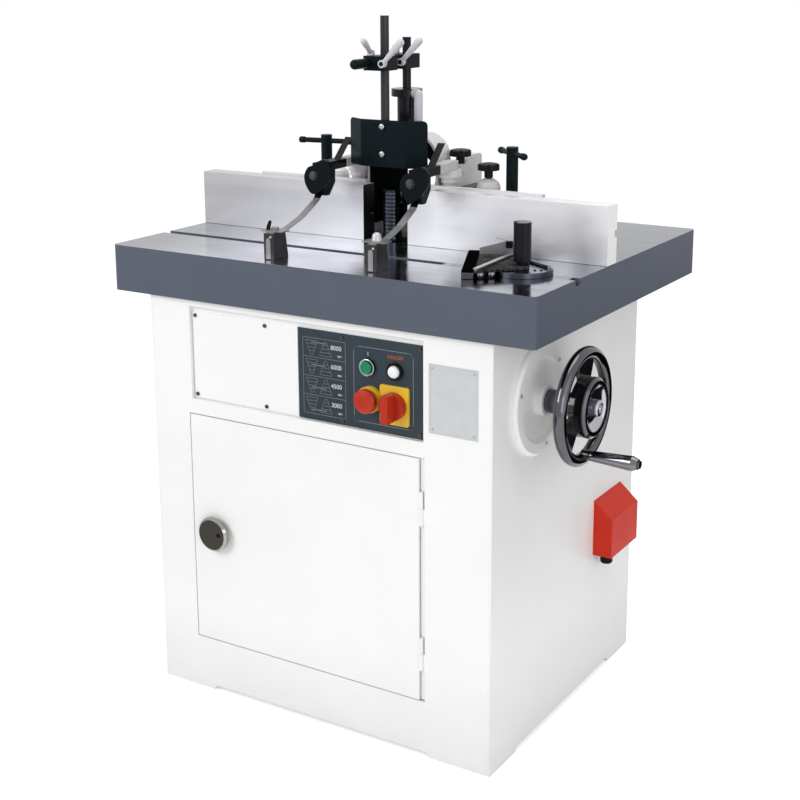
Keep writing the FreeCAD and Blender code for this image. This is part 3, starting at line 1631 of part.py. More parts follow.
def build():
    save("cabinet_left_wall", side_wall(-1))
    save("cabinet_right_wall", right_wall())
    save("cabinet_rear_wall", rear_wall())
    save("cabinet_front_wall", front_wall())
    save("blank_panel", blank_panel())
    save("control_panel", control_panel())
    save("machine_fasteners", machine_fasteners())
    save("machine_table", machine_table())
    save("table_ring", table_ring())
    save("handwheel_flange", handwheel_flange())
    save("supply_box", supply_box())
    save("button_bezels", button_bezels())
    save("pilot_lamp", pilot_lamp())
    save("switch_plates", switch_plates())
    save("spindle_slideway", spindle_slideway())
    save("quill_housing", quill_housing())
    save("motor_body", motor_body())
    save("drive_belt", drive_belt())
    save("spindle_bearings", spindle_bearings())
    save("spindle_shaft", spindle_shaft())
    save("spindle_pulley", spindle_pulley())
    save("spindle_collars", spindle_collars())
    save("motor_pulley", motor_pulley())
    save("handwheel", handwheel())
    save("handwheel_shaft", handwheel_shaft())
    save("crank_grip", crank_grip())
    save("lead_screw", lead_screw())
    save("door_panel", door_panel())
    save("door_knob", door_knob())
    save("start_button", start_button())
    save("estop_button", estop_button())
    save("switch_knob", switch_knob())
    save("fence_body", fence_body())
    save("right_carrier", right_carrier())
    save("left_fence_plate", left_fence_plate())
    save("right_fence_plate", right_fence_plate())
    save("dust_hood", dust_hood())
    save("guard_post", guard_post())
    save("left_clamp_handle", clamp_handle(-1, tee_left_deg))
    save("right_clamp_handle", clamp_handle(1, tee_right_deg))
    save("fence_lock_knob", fence_lock_knob())
    save("fence_adjust_knob", fence_adjust_knob())
    save("rear_clamp", rear_clamp())
    save("guard_arm", guard_arm())
    save("guard_rod", guard_rod())
    save("guard_plate", guard_plate())
    save("rear_lever", rear_lever())
    save("front_lever", front_lever())
    save("arm_lever", arm_lever())
    save("post_lever", post_lever())
    for name, side in (("left", -1), ("right", 1)):
        save(name + "_hold_arm", hold_arm(side))
        save(name + "_spring", spring(side))
        save(name + "_shoe", shoe(side))
    save("mitre_bar", mitre_bar())
    save("mitre_fence", mitre_fence())
    save("mitre_stop", mitre_stop())
    save("mitre_handle", mitre_handle())


build()
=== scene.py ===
import json
import math

import bmesh
import bpy
from mathutils import Matrix, Vector


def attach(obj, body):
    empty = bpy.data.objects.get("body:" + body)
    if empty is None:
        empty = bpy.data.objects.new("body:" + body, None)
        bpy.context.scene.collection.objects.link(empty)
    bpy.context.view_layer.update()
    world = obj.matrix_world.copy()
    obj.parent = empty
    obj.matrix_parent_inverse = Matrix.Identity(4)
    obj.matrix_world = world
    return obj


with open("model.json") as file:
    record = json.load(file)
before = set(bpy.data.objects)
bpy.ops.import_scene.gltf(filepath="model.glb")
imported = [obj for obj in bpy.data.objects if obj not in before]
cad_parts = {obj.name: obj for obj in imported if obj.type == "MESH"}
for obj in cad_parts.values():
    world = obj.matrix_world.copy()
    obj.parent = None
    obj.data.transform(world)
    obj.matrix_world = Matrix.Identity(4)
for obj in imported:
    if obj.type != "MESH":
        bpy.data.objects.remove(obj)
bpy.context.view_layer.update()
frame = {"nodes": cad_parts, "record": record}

scene = bpy.context.scene
scene.view_settings.view_transform = "Standard"

X_AXIS = Vector((1, 0, 0))
Y_AXIS = Vector((0, 1, 0))
Z_AXIS = Vector((0, 0, 1))

# Places on the part, in millimetres in the frame of the record
SPINDLE_X = -12
WHEEL_Y = -137
WHEEL_Z = 632
GAUGE_X = 333
GAUGE_Y = -152
GAUGE_TURN = math.radians(25)
PANEL_Y = -290.0
BUTTON_X = 116
LAMP_X = 170


def mm(x, y, z):
    return Vector((x, y, z)) / 1000


# Node helpers for the materials
class Finish:
    def __init__(self, name, color, roughness, metallic=0.0, gloss=0.5):
        self.material = bpy.data.materials.new(name)
        self.material.use_nodes = True
        self.tree = self.material.node_tree
        self.shader = self.tree.nodes["Principled BSDF"]
        self.shader.inputs["Base Color"].default_value = (*color, 1)
        self.shader.inputs["Roughness"].default_value = roughness
        self.shader.inputs["Metallic"].default_value = metallic
        self.shader.inputs["Specular IOR Level"].default_value = gloss
        self.color = color
        self.places = self.node("ShaderNodeTexCoord").outputs["Object"]

    def node(self, kind, **settings):
        made = self.tree.nodes.new(kind)
        for key, value in settings.items():
            setattr(made, key, value)
        return made

    def link(self, source, target):
        self.tree.links.new(source, target)

    def noise(self, scale, stretch=(1, 1, 1), detail=4.0):
        spread = self.node("ShaderNodeMapping")
        spread.inputs["Scale"].default_value = stretch
        self.link(self.places, spread.inputs["Vector"])
        noise = self.node("ShaderNodeTexNoise")
        noise.inputs["Scale"].default_value = scale
        noise.inputs["Detail"].default_value = detail
        self.link(spread.outputs["Vector"], noise.inputs["Vector"])
        return noise.outputs["Fac"]

    def spread(self, source, low, high, to_low, to_high):
        made = self.node("ShaderNodeMapRange")
        made.inputs["From Min"].default_value = low
        made.inputs["From Max"].default_value = high
        made.inputs["To Min"].default_value = to_low
        made.inputs["To Max"].default_value = to_high
        self.link(source, made.inputs["Value"])
        return made.outputs["Result"]

    def maths(self, operation, first, second):
        made = self.node("ShaderNodeMath", operation=operation)
        for place, value in enumerate((first, second)):
            if isinstance(value, (int, float)):
                made.inputs[place].default_value = value
            else:
                self.link(value, made.inputs[place])
        return made.outputs["Value"]

    def mix(self, share, first, second):
        made = self.node("ShaderNodeMix", data_type="RGBA")
        self.link(share, made.inputs["Factor"])
        for name, value in (("A", first), ("B", second)):
            socket = [s for s in made.inputs if s.name == name and s.type == "RGBA"][0]
            if isinstance(value, tuple):
                socket.default_value = (*value, 1)
            else:
                self.link(value, socket)
        return [s for s in made.outputs if s.type == "RGBA"][0]

    def place_axis(self, axis):
        parts = self.node("ShaderNodeSeparateXYZ")
        self.link(self.places, parts.inputs["Vector"])
        return parts.outputs[axis]

    def facing(self, axis):
        parts = self.node("ShaderNodeSeparateXYZ")
        self.link(self.node("ShaderNodeNewGeometry").outputs["Normal"], parts.inputs["Vector"])
        return parts.outputs[axis]

    def mottled(self, scale, amount, stretch=(1, 1, 1)):
        # Slight lighter and darker patches over the plain colour
        dark = tuple(c * (1 - amount) for c in self.color)
        light = tuple(min(1, c * (1 + amount)) for c in self.color)
        share = self.spread(self.noise(scale, stretch), 0.3, 0.7, 0, 1)
        self.paint = self.mix(share, dark, light)
        self.link(self.paint, self.shader.inputs["Base Color"])
        return self

    def sheen_patches(self, low, high, scale, stretch=(1, 1, 1)):
        rough = self.spread(self.noise(scale, stretch), 0.3, 0.7, low, high)
        self.link(rough, self.shader.inputs["Roughness"])
        return self

    def relief(self, scale, depth, stretch=(1, 1, 1), radius=0.8, detail=3.0):
        # Rounded edges from the bevel node, with a fine surface texture on top
        edge = self.node("ShaderNodeBevel", samples=4)
        edge.inputs["Radius"].default_value = radius / 1000
        self.edge = edge.outputs["Normal"]
        bump = self.node("ShaderNodeBump")
        bump.inputs["Strength"].default_value = 1.0
        bump.inputs["Distance"].default_value = depth / 1000
        self.link(self.noise(scale, stretch, detail), bump.inputs["Height"])
        self.link(self.edge, bump.inputs["Normal"])
        self.link(bump.outputs["Normal"], self.shader.inputs["Normal"])
        return self

    def worn(self, color, amount, scale=60):
        # Paint rubbed through along the edges, in patches
        across = self.node("ShaderNodeVectorMath", operation="DOT_PRODUCT")
        self.link(self.edge, across.inputs[0])
        self.link(self.node("ShaderNodeNewGeometry").outputs["Normal"], across.inputs[1])
        edges = self.spread(across.outputs["Value"], 0.97, 0.80, 0, amount)
        share = self.maths("MULTIPLY", edges, self.spread(self.noise(scale), 0.45, 0.65, 0, 1))
        self.paint = self.mix(share, self.paint, color)
        self.link(self.paint, self.shader.inputs["Base Color"])
        return self


def painted(name, color, roughness, wear=None, mottle=0.02, peel=0.03, radius=1.2, gloss=0.5):
    made = Finish(name, color, roughness, gloss=gloss).mottled(9, mottle)
    made.sheen_patches(roughness * 0.85, roughness * 1.15, 14)
    made.relief(420, peel, radius=radius)
    if wear:
        made.worn(wear, 0.8)
    return made


def metal(name, color, roughness, stretch=(1, 1, 1), grain=300, depth=0.01, mottle=0.05, metallic=1.0):
    made = Finish(name, color, roughness, metallic).mottled(25, mottle, stretch)
    made.sheen_patches(roughness * 0.75, roughness * 1.25, 40, stretch)
    made.relief(grain, depth, stretch)
    return made


def plastic(name, color, roughness, gloss=0.5):
    made = Finish(name, color, roughness, gloss=gloss).mottled(40, 0.04)
    made.sheen_patches(roughness * 0.8, roughness * 1.2, 60)
    made.relief(1500, 0.01, radius=0.8)
    return made


def cabinet_paint():
    made = painted("cabinet_paint", (0.85, 0.855, 0.85), 0.34, mottle=0.012)
    # Greys the lowest part in patches, darker towards the bottom
    low_grey = made.spread(made.place_axis("Z"), 0.17, 0.0, 0, 0.42)
    share = made.maths("MULTIPLY", low_grey, made.spread(made.noise(35), 0.3, 0.7, 0.42, 0.58))
    made.paint = made.mix(share, made.paint, (0.44, 0.45, 0.455))
    made.link(made.paint, made.shader.inputs["Base Color"])
    return made.material


def table_slate_and_painted_light():
    # Slate paint on the rim and skirt, ground and polished iron on top
    slate = (0.082, 0.094, 0.128)
    made = painted("table_slate_and_painted_light", slate, 0.42, mottle=0.03, peel=0.05, radius=1.5, gloss=0.3)
    top = made.maths("GREATER_THAN", made.facing("Z"), 0.9)
    high = made.maths("GREATER_THAN", made.place_axis("Z"), 0.83)
    ground = made.maths("MULTIPLY", top, high)
    lines = made.spread(made.noise(30, (1, 30, 1)), 0.3, 0.7, 0, 1)
    plain = made.mix(lines, (0.135, 0.147, 0.180), (0.175, 0.187, 0.218))
    # Painted shade: the right end of the top is darker
    right = made.spread(made.place_axis("X"), 0.08, 0.25, 0, 0.6)
    plain = made.mix(right, plain, (0.075, 0.085, 0.108))
    lit_iron = made.mix(lines, (0.54, 0.55, 0.59), (0.65, 0.66, 0.70))
    # Painted highlight: the middle of the top is lighter, as a lamp's reflection on the polished iron
    across = made.maths("ABSOLUTE", made.maths("ADD", made.place_axis("X"), 0.09), 0)
    middle_highlight = made.spread(across, 0.29, 0.06, 0, 1)
    middle_highlight = made.maths("MULTIPLY", middle_highlight, made.spread(made.noise(6), 0.25, 0.6, 0.5, 1))
    iron = made.mix(middle_highlight, plain, lit_iron)
    made.link(made.mix(ground, made.paint, iron), made.shader.inputs["Base Color"])
    made.link(ground, made.shader.inputs["Metallic"])
    polish = made.spread(made.noise(8, (1, 8, 1)), 0.3, 0.7, 0.10, 0.20)
    matt = made.spread(ground, 0, 1, 0.42, 0)
    share = made.maths("MULTIPLY", polish, ground)
    made.link(made.maths("ADD", matt, share), made.shader.inputs["Roughness"])
    return made.material


def hood_paint_and_shade():
    # Pale casting paint outside; the inside, where the cutter runs, painted dark and without gloss as
    # painted shade
    made = painted("hood_paint_and_shade", (0.60, 0.59, 0.61), 0.45, mottle=0.03, peel=0.12)
    from_spindle = made.maths("ADD", made.place_axis("X"), -SPINDLE_X / 1000)
    across = made.maths("MULTIPLY", made.facing("X"), from_spindle)
    upward = made.maths("MULTIPLY", made.facing("Z"), made.maths("SUBTRACT", made.place_axis("Z"), 0.96))
    inward = made.maths("LESS_THAN", made.maths("ADD", across, upward), -0.02)
    forward = made.maths("LESS_THAN", made.facing("Y"), -0.5)
    back = made.maths("MULTIPLY", forward, made.maths("GREATER_THAN", made.place_axis("Y"), 0.06))
    shaded_inside = made.maths("MAXIMUM", inward, back)
    made.link(made.mix(shaded_inside, made.paint, (0.008, 0.010, 0.010)), made.shader.inputs["Base Color"])
    made.link(made.spread(shaded_inside, 0, 1, 0.4, 0), made.shader.inputs["Specular IOR Level"])
    return made.material


def hold_finish():
    # Black face and cheek in front, bare casting round the pivot
    made = painted("hold_finish", (0.0045, 0.0070, 0.0085), 0.34, (0.04, 0.04, 0.04), 0.1, gloss=0.06)
    rear = made.maths("GREATER_THAN", made.place_axis("Y"), -0.030)
    made.link(made.mix(rear, made.paint, (0.50, 0.49, 0.50)), made.shader.inputs["Base Color"])
    return made.material


def carrier_finish():
    # Pale casting with a dark slide bar behind it
    made = painted("carrier_finish", (0.62, 0.61, 0.62), 0.45, mottle=0.03, peel=0.1)
    bar = made.maths("GREATER_THAN", made.place_axis("Y"), 0.0145)
    made.link(made.mix(bar, made.paint, (0.03, 0.03, 0.035)), made.shader.inputs["Base Color"])
    return made.material


def collar_steel_and_highlight():
    # Dark blued steel, with painted highlights as lighter lines in fine turned rings
    made = metal("collar_steel_and_highlight", (0.030, 0.034, 0.045), 0.24, (1, 1, 20), depth=0.004)
    rings = made.node("ShaderNodeTexWave", bands_direction="Z")
    rings.inputs["Scale"].default_value = 45.0
    rings.inputs["Distortion"].default_value = 0.0
    made.link(made.places, rings.inputs["Vector"])
    lines = made.spread(rings.outputs["Fac"], 0.80, 0.95, 0, 0.7)
    made.link(made.mix(lines, made.paint, (0.15, 0.165, 0.21)), made.shader.inputs["Base Color"])
    return made.material


def wheel_chrome_and_reflection():
    # Chrome rim and hub, gloss black web between them: the dark chrome and the black web are painted dark
    # reflection
    made = metal("wheel_chrome_and_reflection", (0.105, 0.102, 0.115), 0.08, grain=60, depth=0.004, mottle=0.02)
    across = made.maths("POWER", made.maths("ADD", made.place_axis("Y"), -WHEEL_Y / 1000), 2)
    upward = made.maths("POWER", made.maths("SUBTRACT", made.place_axis("Z"), WHEEL_Z / 1000), 2)
    radius = made.maths("SQRT", made.maths("ADD", across, upward), 0)
    past_hub = made.maths("GREATER_THAN", radius, 0.0505)
    web = made.maths("MULTIPLY", past_hub, made.maths("LESS_THAN", radius, 0.082))
    made.link(made.mix(web, made.paint, (0.006, 0.006, 0.007)), made.shader.inputs["Base Color"])
    made.link(made.maths("SUBTRACT", 1.0, web), made.shader.inputs["Metallic"])
    return made.material


def fence_alloy_and_painted_light():
    # Brushed plate with a bright band along the top and, under it, a darker band of painted shade
    made = metal("fence_alloy_and_painted_light", (0.60, 0.60, 0.625), 0.4, (1, 1, 30), 90, 0.003, 0.03, 0.7)
    height = made.place_axis("Z")
    shade = made.spread(height, 0.936, 0.928, 0, 1)
    shade = made.maths("MULTIPLY", shade, made.spread(height, 0.896, 0.916, 0, 0.5))
    made.paint = made.mix(shade, made.paint, (0.42, 0.42, 0.47))
    # Painted shade: the left plate grows darker towards its end
    left = made.spread(made.place_axis("X"), 0.0, -0.40, 0, 0.55)
    made.paint = made.mix(left, made.paint, (0.42, 0.42, 0.45))
    # Painted highlight: the right plate is lighter near the cutter and again at its far end
    near_highlight = made.spread(made.place_axis("X"), 0.02, 0.10, 0, 0.6)
    near_highlight = made.maths("MULTIPLY", near_highlight, made.spread(made.place_axis("X"), 0.32, 0.20, 0, 1))
    made.paint = made.mix(near_highlight, made.paint, (0.80, 0.80, 0.82))
    right = made.spread(made.place_axis("X"), 0.20, 0.40, 0, 0.8)
    made.paint = made.mix(right, made.paint, (0.80, 0.80, 0.82))
    made.link(made.paint, made.shader.inputs["Base Color"])
    return made.material


def spring_strip_and_reflection():
    # Bare strip in front; black where it passes up behind the cheek, a painted reflection of the dark guard
    grey = (0.21, 0.205, 0.21)
    made = metal("spring_strip_and_reflection", grey, 0.4, (20, 1, 1), depth=0.001, mottle=0.03, metallic=0.7)
    tail_reflection = made.maths("GREATER_THAN", made.place_axis("Y"), -0.118)
    made.link(made.mix(tail_reflection, made.paint, (0.006, 0.006, 0.007)), made.shader.inputs["Base Color"])
    return made.material


def gauge_finish():
    # Black bar, with a dark, streaky web beside it
    made = painted("gauge_finish", (0.002, 0.002, 0.0022), 0.40, mottle=0.05, peel=0.02, gloss=0.0)
    from_pivot = made.maths("SUBTRACT", made.place_axis("X"), GAUGE_X / 1000)
    along = made.maths("MULTIPLY", from_pivot, math.cos(GAUGE_TURN))
    behind_pivot = made.maths("ADD", made.place_axis("Y"), -GAUGE_Y / 1000)
    over = made.maths("MULTIPLY", behind_pivot, math.sin(GAUGE_TURN))
    web = made.maths("GREATER_THAN", made.maths("ADD", along, over), -0.0755)
    streaks = made.spread(made.noise(45, (1, 6, 1)), 0.38, 0.66, 0, 1)
    steel = made.mix(streaks, (0.012, 0.011, 0.011), (0.090, 0.083, 0.082))
    made.link(made.mix(web, made.paint, steel), made.shader.inputs["Base Color"])
    return made.material


def lamp_finish():
    made = plastic("lamp_finish", (0.82, 0.83, 0.84), 0.22)
    made.shader.inputs["Subsurface Weight"].default_value = 0.3
    made.shader.inputs["Subsurface Radius"].default_value = (0.004, 0.004, 0.004)
    return made.material


looks = {
    "cabinet_white": cabinet_paint(),
    "panel_slate": painted("panel_slate", (0.026, 0.040, 0.052), 0.38, mottle=0.05, peel=0.015,
                           gloss=0.3).material,
    "fastener_steel": metal("fastener_steel", (0.42, 0.42, 0.43), 0.3).material,
    "table_iron": table_slate_and_painted_light(),
    "supply_red": painted("supply_red", (0.62, 0.033, 0.016), 0.36, mottle=0.03, peel=0.02,
                          gloss=0.12).material,
    "black_plastic": plastic("black_plastic", (0.005, 0.0065, 0.0075), 0.38, 0.12).material,
    "lamp_white": lamp_finish(),
    "signal_yellow": plastic("signal_yellow", (0.73, 0.48, 0.028), 0.35).material,
    "signal_red": plastic("signal_red", (0.44, 0.026, 0.010), 0.3, 0.25).material,
    "button_green": plastic("button_green", (0.012, 0.20, 0.10), 0.3).material,
    "machined_steel": metal("machined_steel", (0.085, 0.095, 0.12), 0.25, (1, 1, 20), depth=0.004).material,
    "cast_grey": painted("cast_grey", (0.62, 0.61, 0.62), 0.45, mottle=0.03, peel=0.15).material,
    "motor_grey": painted("motor_grey", (0.16, 0.18, 0.20), 0.45, (0.3, 0.3, 0.3)).material,
    "fence_alloy": metal("fence_alloy", (0.60, 0.60, 0.625), 0.4, (1, 1, 30), 90, 0.003, 0.03,
                         0.7).material,
    "black_steel": painted("black_steel", (0.0045, 0.0085, 0.0110), 0.36, (0.04, 0.04, 0.04), 0.1,
                           gloss=0.06).material,
    # Chrome darkened in colour as painted dark reflection
    "bright_chrome": metal("bright_chrome", (0.17, 0.17, 0.185), 0.08, grain=60, depth=0.004,
                           mottle=0.02).material,
    "belt_rubber": plastic("belt_rubber", (0.018, 0.018, 0.019), 0.7).material,
    "spring_steel": metal("spring_steel", (0.36, 0.35, 0.36), 0.26, (20, 1, 1), depth=0.003).material,
}
hood_shade_look = hood_paint_and_shade()
shoe_look = painted("shoe_black", (0.016, 0.012, 0.014), 0.33, (0.15, 0.14, 0.14), 0.30, 0.1).material
lever_look = painted("lever_silver", (0.56, 0.55, 0.59), 0.35, mottle=0.04, peel=0.01).material
rod_look = painted("rod_blued", (0.022, 0.021, 0.027), 0.24, mottle=0.05, peel=0.004, gloss=0.25).material
post_look = painted("post_black", (0.006, 0.008, 0.010), 0.22, mottle=0.05, peel=0.004, gloss=0.14).material
guard_look = painted("guard_black", (0.0040, 0.0085, 0.0110), 0.32, mottle=0.06, peel=0.02, radius=5,
                     gloss=0.06).material
handle_look = plastic("handle_dark", (0.008, 0.006, 0.011), 0.16, 0.13).material
# The cabinet's white paint, made lighter on the flange as painted light against the shadow of the handwheel
lit_flange_look = painted("flange_white_lit", (0.93, 0.93, 0.93), 0.34, mottle=0.012).material
satin_look = metal("satin_steel", (0.46, 0.46, 0.48), 0.35, depth=0.001, mottle=0.03, metallic=0.5).material
dull_look = metal("dull_steel", (0.27, 0.27, 0.28), 0.35, depth=0.001, mottle=0.06, metallic=0.5).material
# Chrome lighter than the wheel's, a painted reflection
hub_look = metal("hub_chrome", (0.42, 0.41, 0.45), 0.09, grain=60, depth=0.003, mottle=0.03).material
ring_look = metal("ring_chrome", (0.30, 0.40, 0.37), 0.2, depth=0.002).material
spring_reflection_look = spring_strip_and_reflection()
fence_painted_light_look = fence_alloy_and_painted_light()
mark_look = plastic("mark_white", (0.60, 0.62, 0.64), 0.5).material
line_look = plastic("line_grey", (0.20, 0.22, 0.24), 0.5).material
bolt_look = painted("bolt_grey", (0.035, 0.035, 0.04), 0.4, mottle=0.06, peel=0.02).material
orange_look = plastic("mark_orange", (0.45, 0.09, 0.03), 0.5).material
card_look = plastic("card_pale", (0.54, 0.56, 0.58), 0.45).material
hold_look = hold_finish()
by_node = {
    "dust_hood": hood_shade_look,
    "left_hold_arm": hold_look,
    "right_hold_arm": hold_look,
    "right_carrier": carrier_finish(),
    "spindle_collars": collar_steel_and_highlight(),
    "handwheel": wheel_chrome_and_reflection(),
    "door_knob": metal("knob_chrome", (0.33, 0.32, 0.30), 0.10, grain=60, depth=0.004,
                       mottle=0.03).material,
    "machine_fasteners": metal("screw_dark", (0.13, 0.13, 0.14), 0.3).material,
    "handwheel_flange": lit_flange_look,
    "handwheel_shaft": looks["bright_chrome"],
    "left_fence_plate": fence_painted_light_look,
    "right_fence_plate": fence_painted_light_look,
    "left_spring": spring_reflection_look,
    "right_spring": spring_reflection_look,
    "guard_rod": rod_look,
    "guard_post": post_look,
    "guard_plate": guard_look,
    "mitre_fence": gauge_finish(),
    "mitre_stop": dull_look,
    "mitre_handle": handle_look,
    "left_shoe": shoe_look,
    "right_shoe": shoe_look,
    "front_lever": lever_look,
    "rear_lever": lever_look,
    "arm_lever": lever_look,
    "post_lever": lever_look,
}


def dress_nodes():
    slots = {row["node"]: row["material_slot"] for row in frame["record"]["subparts"]}
    for name, node in frame["nodes"].items():
        look = by_node.get(name, looks[slots[name]])
        node.data.materials.clear()
        node.data.materials.append(look)


# Mesh helpers for the added pieces
def add_prism(mesh, outline, push):
    low = [mesh.verts.new(p) for p in outline]
    high = [mesh.verts.new(p + push) for p in outline]
    mesh.faces.new(low)
    mesh.faces.new(list(reversed(high)))
    count = len(outline)
    for i in range(count):
        mesh.faces.new((low[i], high[i], high[(i + 1) % count], low[(i + 1) % count]))


def lathe_rings(mesh, profile, place, axis, steps):
    # One ring of points for each (radius, height along the axis) pair
    turn = Z_AXIS.rotation_difference(axis).to_matrix()
    rings = []
    for radius, height in profile:
        ring = []
        for i in range(steps):
            angle = 2 * math.pi * i / steps
            point = Vector((radius * math.cos(angle), radius * math.sin(angle), height))
            ring.append(mesh.verts.new(place + turn @ point))
        rings.append(ring)
    return rings


def join_rings(mesh, lows, highs):
    for low, high in zip(lows, highs):
        count = len(low)
        for i in range(count):
            mesh.faces.new((low[i], low[(i + 1) % count], high[(i + 1) % count], high[i]))


def add_turned(mesh, profile, place, axis, steps=40):
    # Solid of revolution, closed at both ends
    rings = lathe_rings(mesh, profile, place, axis, steps)
    join_rings(mesh, rings, rings[1:])
    mesh.faces.new(list(reversed(rings[0])))
    mesh.faces.new(rings[-1])


def add_ring(mesh, loop, place, axis, steps=40):
    # Ring turned from a closed loop, so the middle stays open
    rings = lathe_rings(mesh, loop, place, axis, steps)
    join_rings(mesh, rings, rings[1:] + rings[:1])


SMOOTH_BELOW = math.radians(35)


def finish_piece(name, mesh, body, look):
    bmesh.ops.recalc_face_normals(mesh, faces=mesh.faces)
    data = bpy.data.meshes.new(name)
    mesh.to_mesh(data)
    mesh.free()
    data.materials.append(look)
    data.polygons.foreach_set("use_smooth", [True] * len(data.polygons))
    data.set_sharp_from_angle(angle=SMOOTH_BELOW)
    piece = bpy.data.objects.new(name, data)
    scene.collection.objects.link(piece)
    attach(piece, body)


def add_wire(name, points, radius, body, look):
    # Round wire along a smooth curve
    curve = bpy.data.curves.new(name, "CURVE")
    curve.dimensions = "3D"
    curve.bevel_depth = radius
    curve.bevel_resolution = 4
    curve.use_fill_caps = True
    line = curve.splines.new("NURBS")
    line.points.add(len(points) - 1)
    for target, point in zip(line.points, points):
        target.co = (*point, 1)
    line.order_u = 3
    line.use_endpoint_u = True
    curve.materials.append(look)
    piece = bpy.data.objects.new(name, curve)
    scene.collection.objects.link(piece)
    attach(piece, body)


def add_words(name, text, size, centre, body, look):
    # Flat figures on a plate that faces the front
    curve = bpy.data.curves.new(name, "FONT")
    curve.body = text
    curve.size = size
    curve.extrude = 0.00008
    curve.offset = 0.00015
    curve.align_x = "CENTER"
    curve.align_y = "CENTER"
    curve.materials.append(look)
    piece = bpy.data.objects.new(name, curve)
    scene.collection.objects.link(piece)
    piece.matrix_world = Matrix.Translation(centre) @ Matrix.Rotation(math.pi / 2, 4, "X")
    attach(piece, body)


# Marks on the control plate
MARK_THICK = 0.2
MARK_Y = PANEL_Y - MARK_THICK


def add_line(mesh, start, end, width):
    # Thin printed line between two points (x, z) on the plate
    a = Vector((start[0], 0, start[1]))
    b = Vector((end[0], 0, end[1]))
    along = (b - a).normalized() * width / 2
    side = Vector((-along.z, 0, along.x))
    corners = [a - along - side, b + along - side, b + along + side, a - along + side]
    lift = Vector((0, PANEL_Y, 0))
    add_prism(mesh, [(lift + c) / 1000 for c in corners], mm(0, -MARK_THICK, 0))


def add_path(mesh, points, width):
    for start, end in zip(points, points[1:]):
        add_line(mesh, start, end, width)


def rounded_path(left, right, low, high, radius, steps=6):
    points = []
    corners = ((right - radius, high - radius, 0), (left + radius, high - radius, 90),
               (left + radius, low + radius, 180), (right - radius, low + radius, 270))
    for x, z, start in corners:
        for i in range(steps + 1):
            turn = math.radians(start + 90 * i / steps)
            points.append((x + radius * math.cos(turn), z + radius * math.sin(turn)))
    return points + points[:1]


def pulley_marks(mesh, centre_x, low, high, widths, line):
    # Stepped cone pulley drawn from the side, with its four steps
    step = (high - low) / (len(widths) - 1)
    levels = [(low + step * i, half) for i, half in enumerate(widths)]
    add_path(mesh, [(centre_x - half, z) for z, half in levels], line)
    add_path(mesh, [(centre_x + half, z) for z, half in levels], line)
    for z, half in levels:
        add_line(mesh, (centre_x - half, z), (centre_x + half, z), line)


def control_marks():
    chart = bmesh.new()
    left, right, low, high = -18.0, 70.0, 590.0, 726.0
    frame_line, drawn_line, belt_line = 0.8, 0.7, 1.4
    left_x, right_x = 0.0, 29.0
    widths = (2.5, 5, 7.5, 10, 12.5)
    margin = 4.5
    add_path(chart, [(left, low), (right, low), (right, high), (left, high), (left, low)], frame_line)
    speeds = ("8000", "6000", "4500", "3000")
    rows = len(speeds)
    row_high = (high - low) / rows
    for row in range(rows):
        floor = high - row_high * (row + 1)
        if row < rows - 1:
            add_line(chart, (left, floor), (right, floor), frame_line)
        bottom = floor + margin
        top = floor + row_high - margin
        pulley_marks(chart, left_x, bottom, top, widths, drawn_line)
        pulley_marks(chart, right_x, bottom, top, widths[::-1], drawn_line)
        belt = top - (top - bottom) * (row + 0.5) / rows
        add_line(chart, (left_x, belt), (right_x, belt), belt_line)
        number_at = mm(51, MARK_Y, floor + row_high * 0.62)
        name = "speed_%d" % (row + 1)
        add_words(name, speeds[row], 0.0112, number_at, "machine", mark_look)
        unit_at = mm(58.5, MARK_Y, floor + row_high * 0.24)
        name = "speed_unit_%d" % (row + 1)
        add_words(name, "rpm", 0.0058, unit_at, "machine", mark_look)
    finish_piece("speed_chart", chart, "machine", line_look)
    border = bmesh.new()
    add_path(border, rounded_path(87, 205, 592, 724, 8), 1.1)
    finish_piece("control_border", border, "machine", line_look)
    mark_z = 713
    start_at = mm(BUTTON_X, MARK_Y, mark_z)
    add_words("start_mark", "I", 0.009, start_at, "machine", mark_look)
    lamp_at = mm(LAMP_X, MARK_Y, mark_z)
    add_words("lamp_mark", "ON/OFF", 0.0085, lamp_at, "machine", orange_look)


def start_ring():
    # Bright ring on the bezel of the push button
    ring = bmesh.new()
    loop = [(0.0113, 0), (0.0152, 0), (0.0150, 0.0008), (0.0138, 0.0014), (0.0116, 0.0010)]
    bezel_face = PANEL_Y - 4.9
    add_ring(ring, loop, mm(BUTTON_X, bezel_face, 690), -Y_AXIS)
    finish_piece("start_ring", ring, "machine", ring_look)


# Small fittings
def add_screw(mesh, place, axis, radius, height):
    # Low domed head with a driver recess round its centre
    profile = [(radius, 0), (radius * 0.97, height * 0.45), (radius * 0.8, height * 0.8),
               (radius * 0.42, height), (radius * 0.34, height * 0.55), (radius * 0.1, height * 0.5)]
    add_turned(mesh, profile, place, axis, 24)


def guard_screws():
    heads = bmesh.new()
    for z in (1014, 1064):
        add_screw(heads, mm(SPINDLE_X, -40.2, z), -Y_AXIS, 0.0057, 0.003)
    finish_piece("guard_screw_heads", heads, "guard", looks["fastener_steel"])


def flange_screws():
    heads = bmesh.new()
    circle = 84
    for degrees in (42, 162, 282):
        turn = math.radians(degrees)
        place = mm(367.6, WHEEL_Y + circle * math.cos(turn), WHEEL_Z + circle * math.sin(turn))
        add_screw(heads, place, X_AXIS, 0.0042, 0.0022)
    finish_piece("flange_screw_heads", heads, "machine", looks["fastener_steel"])


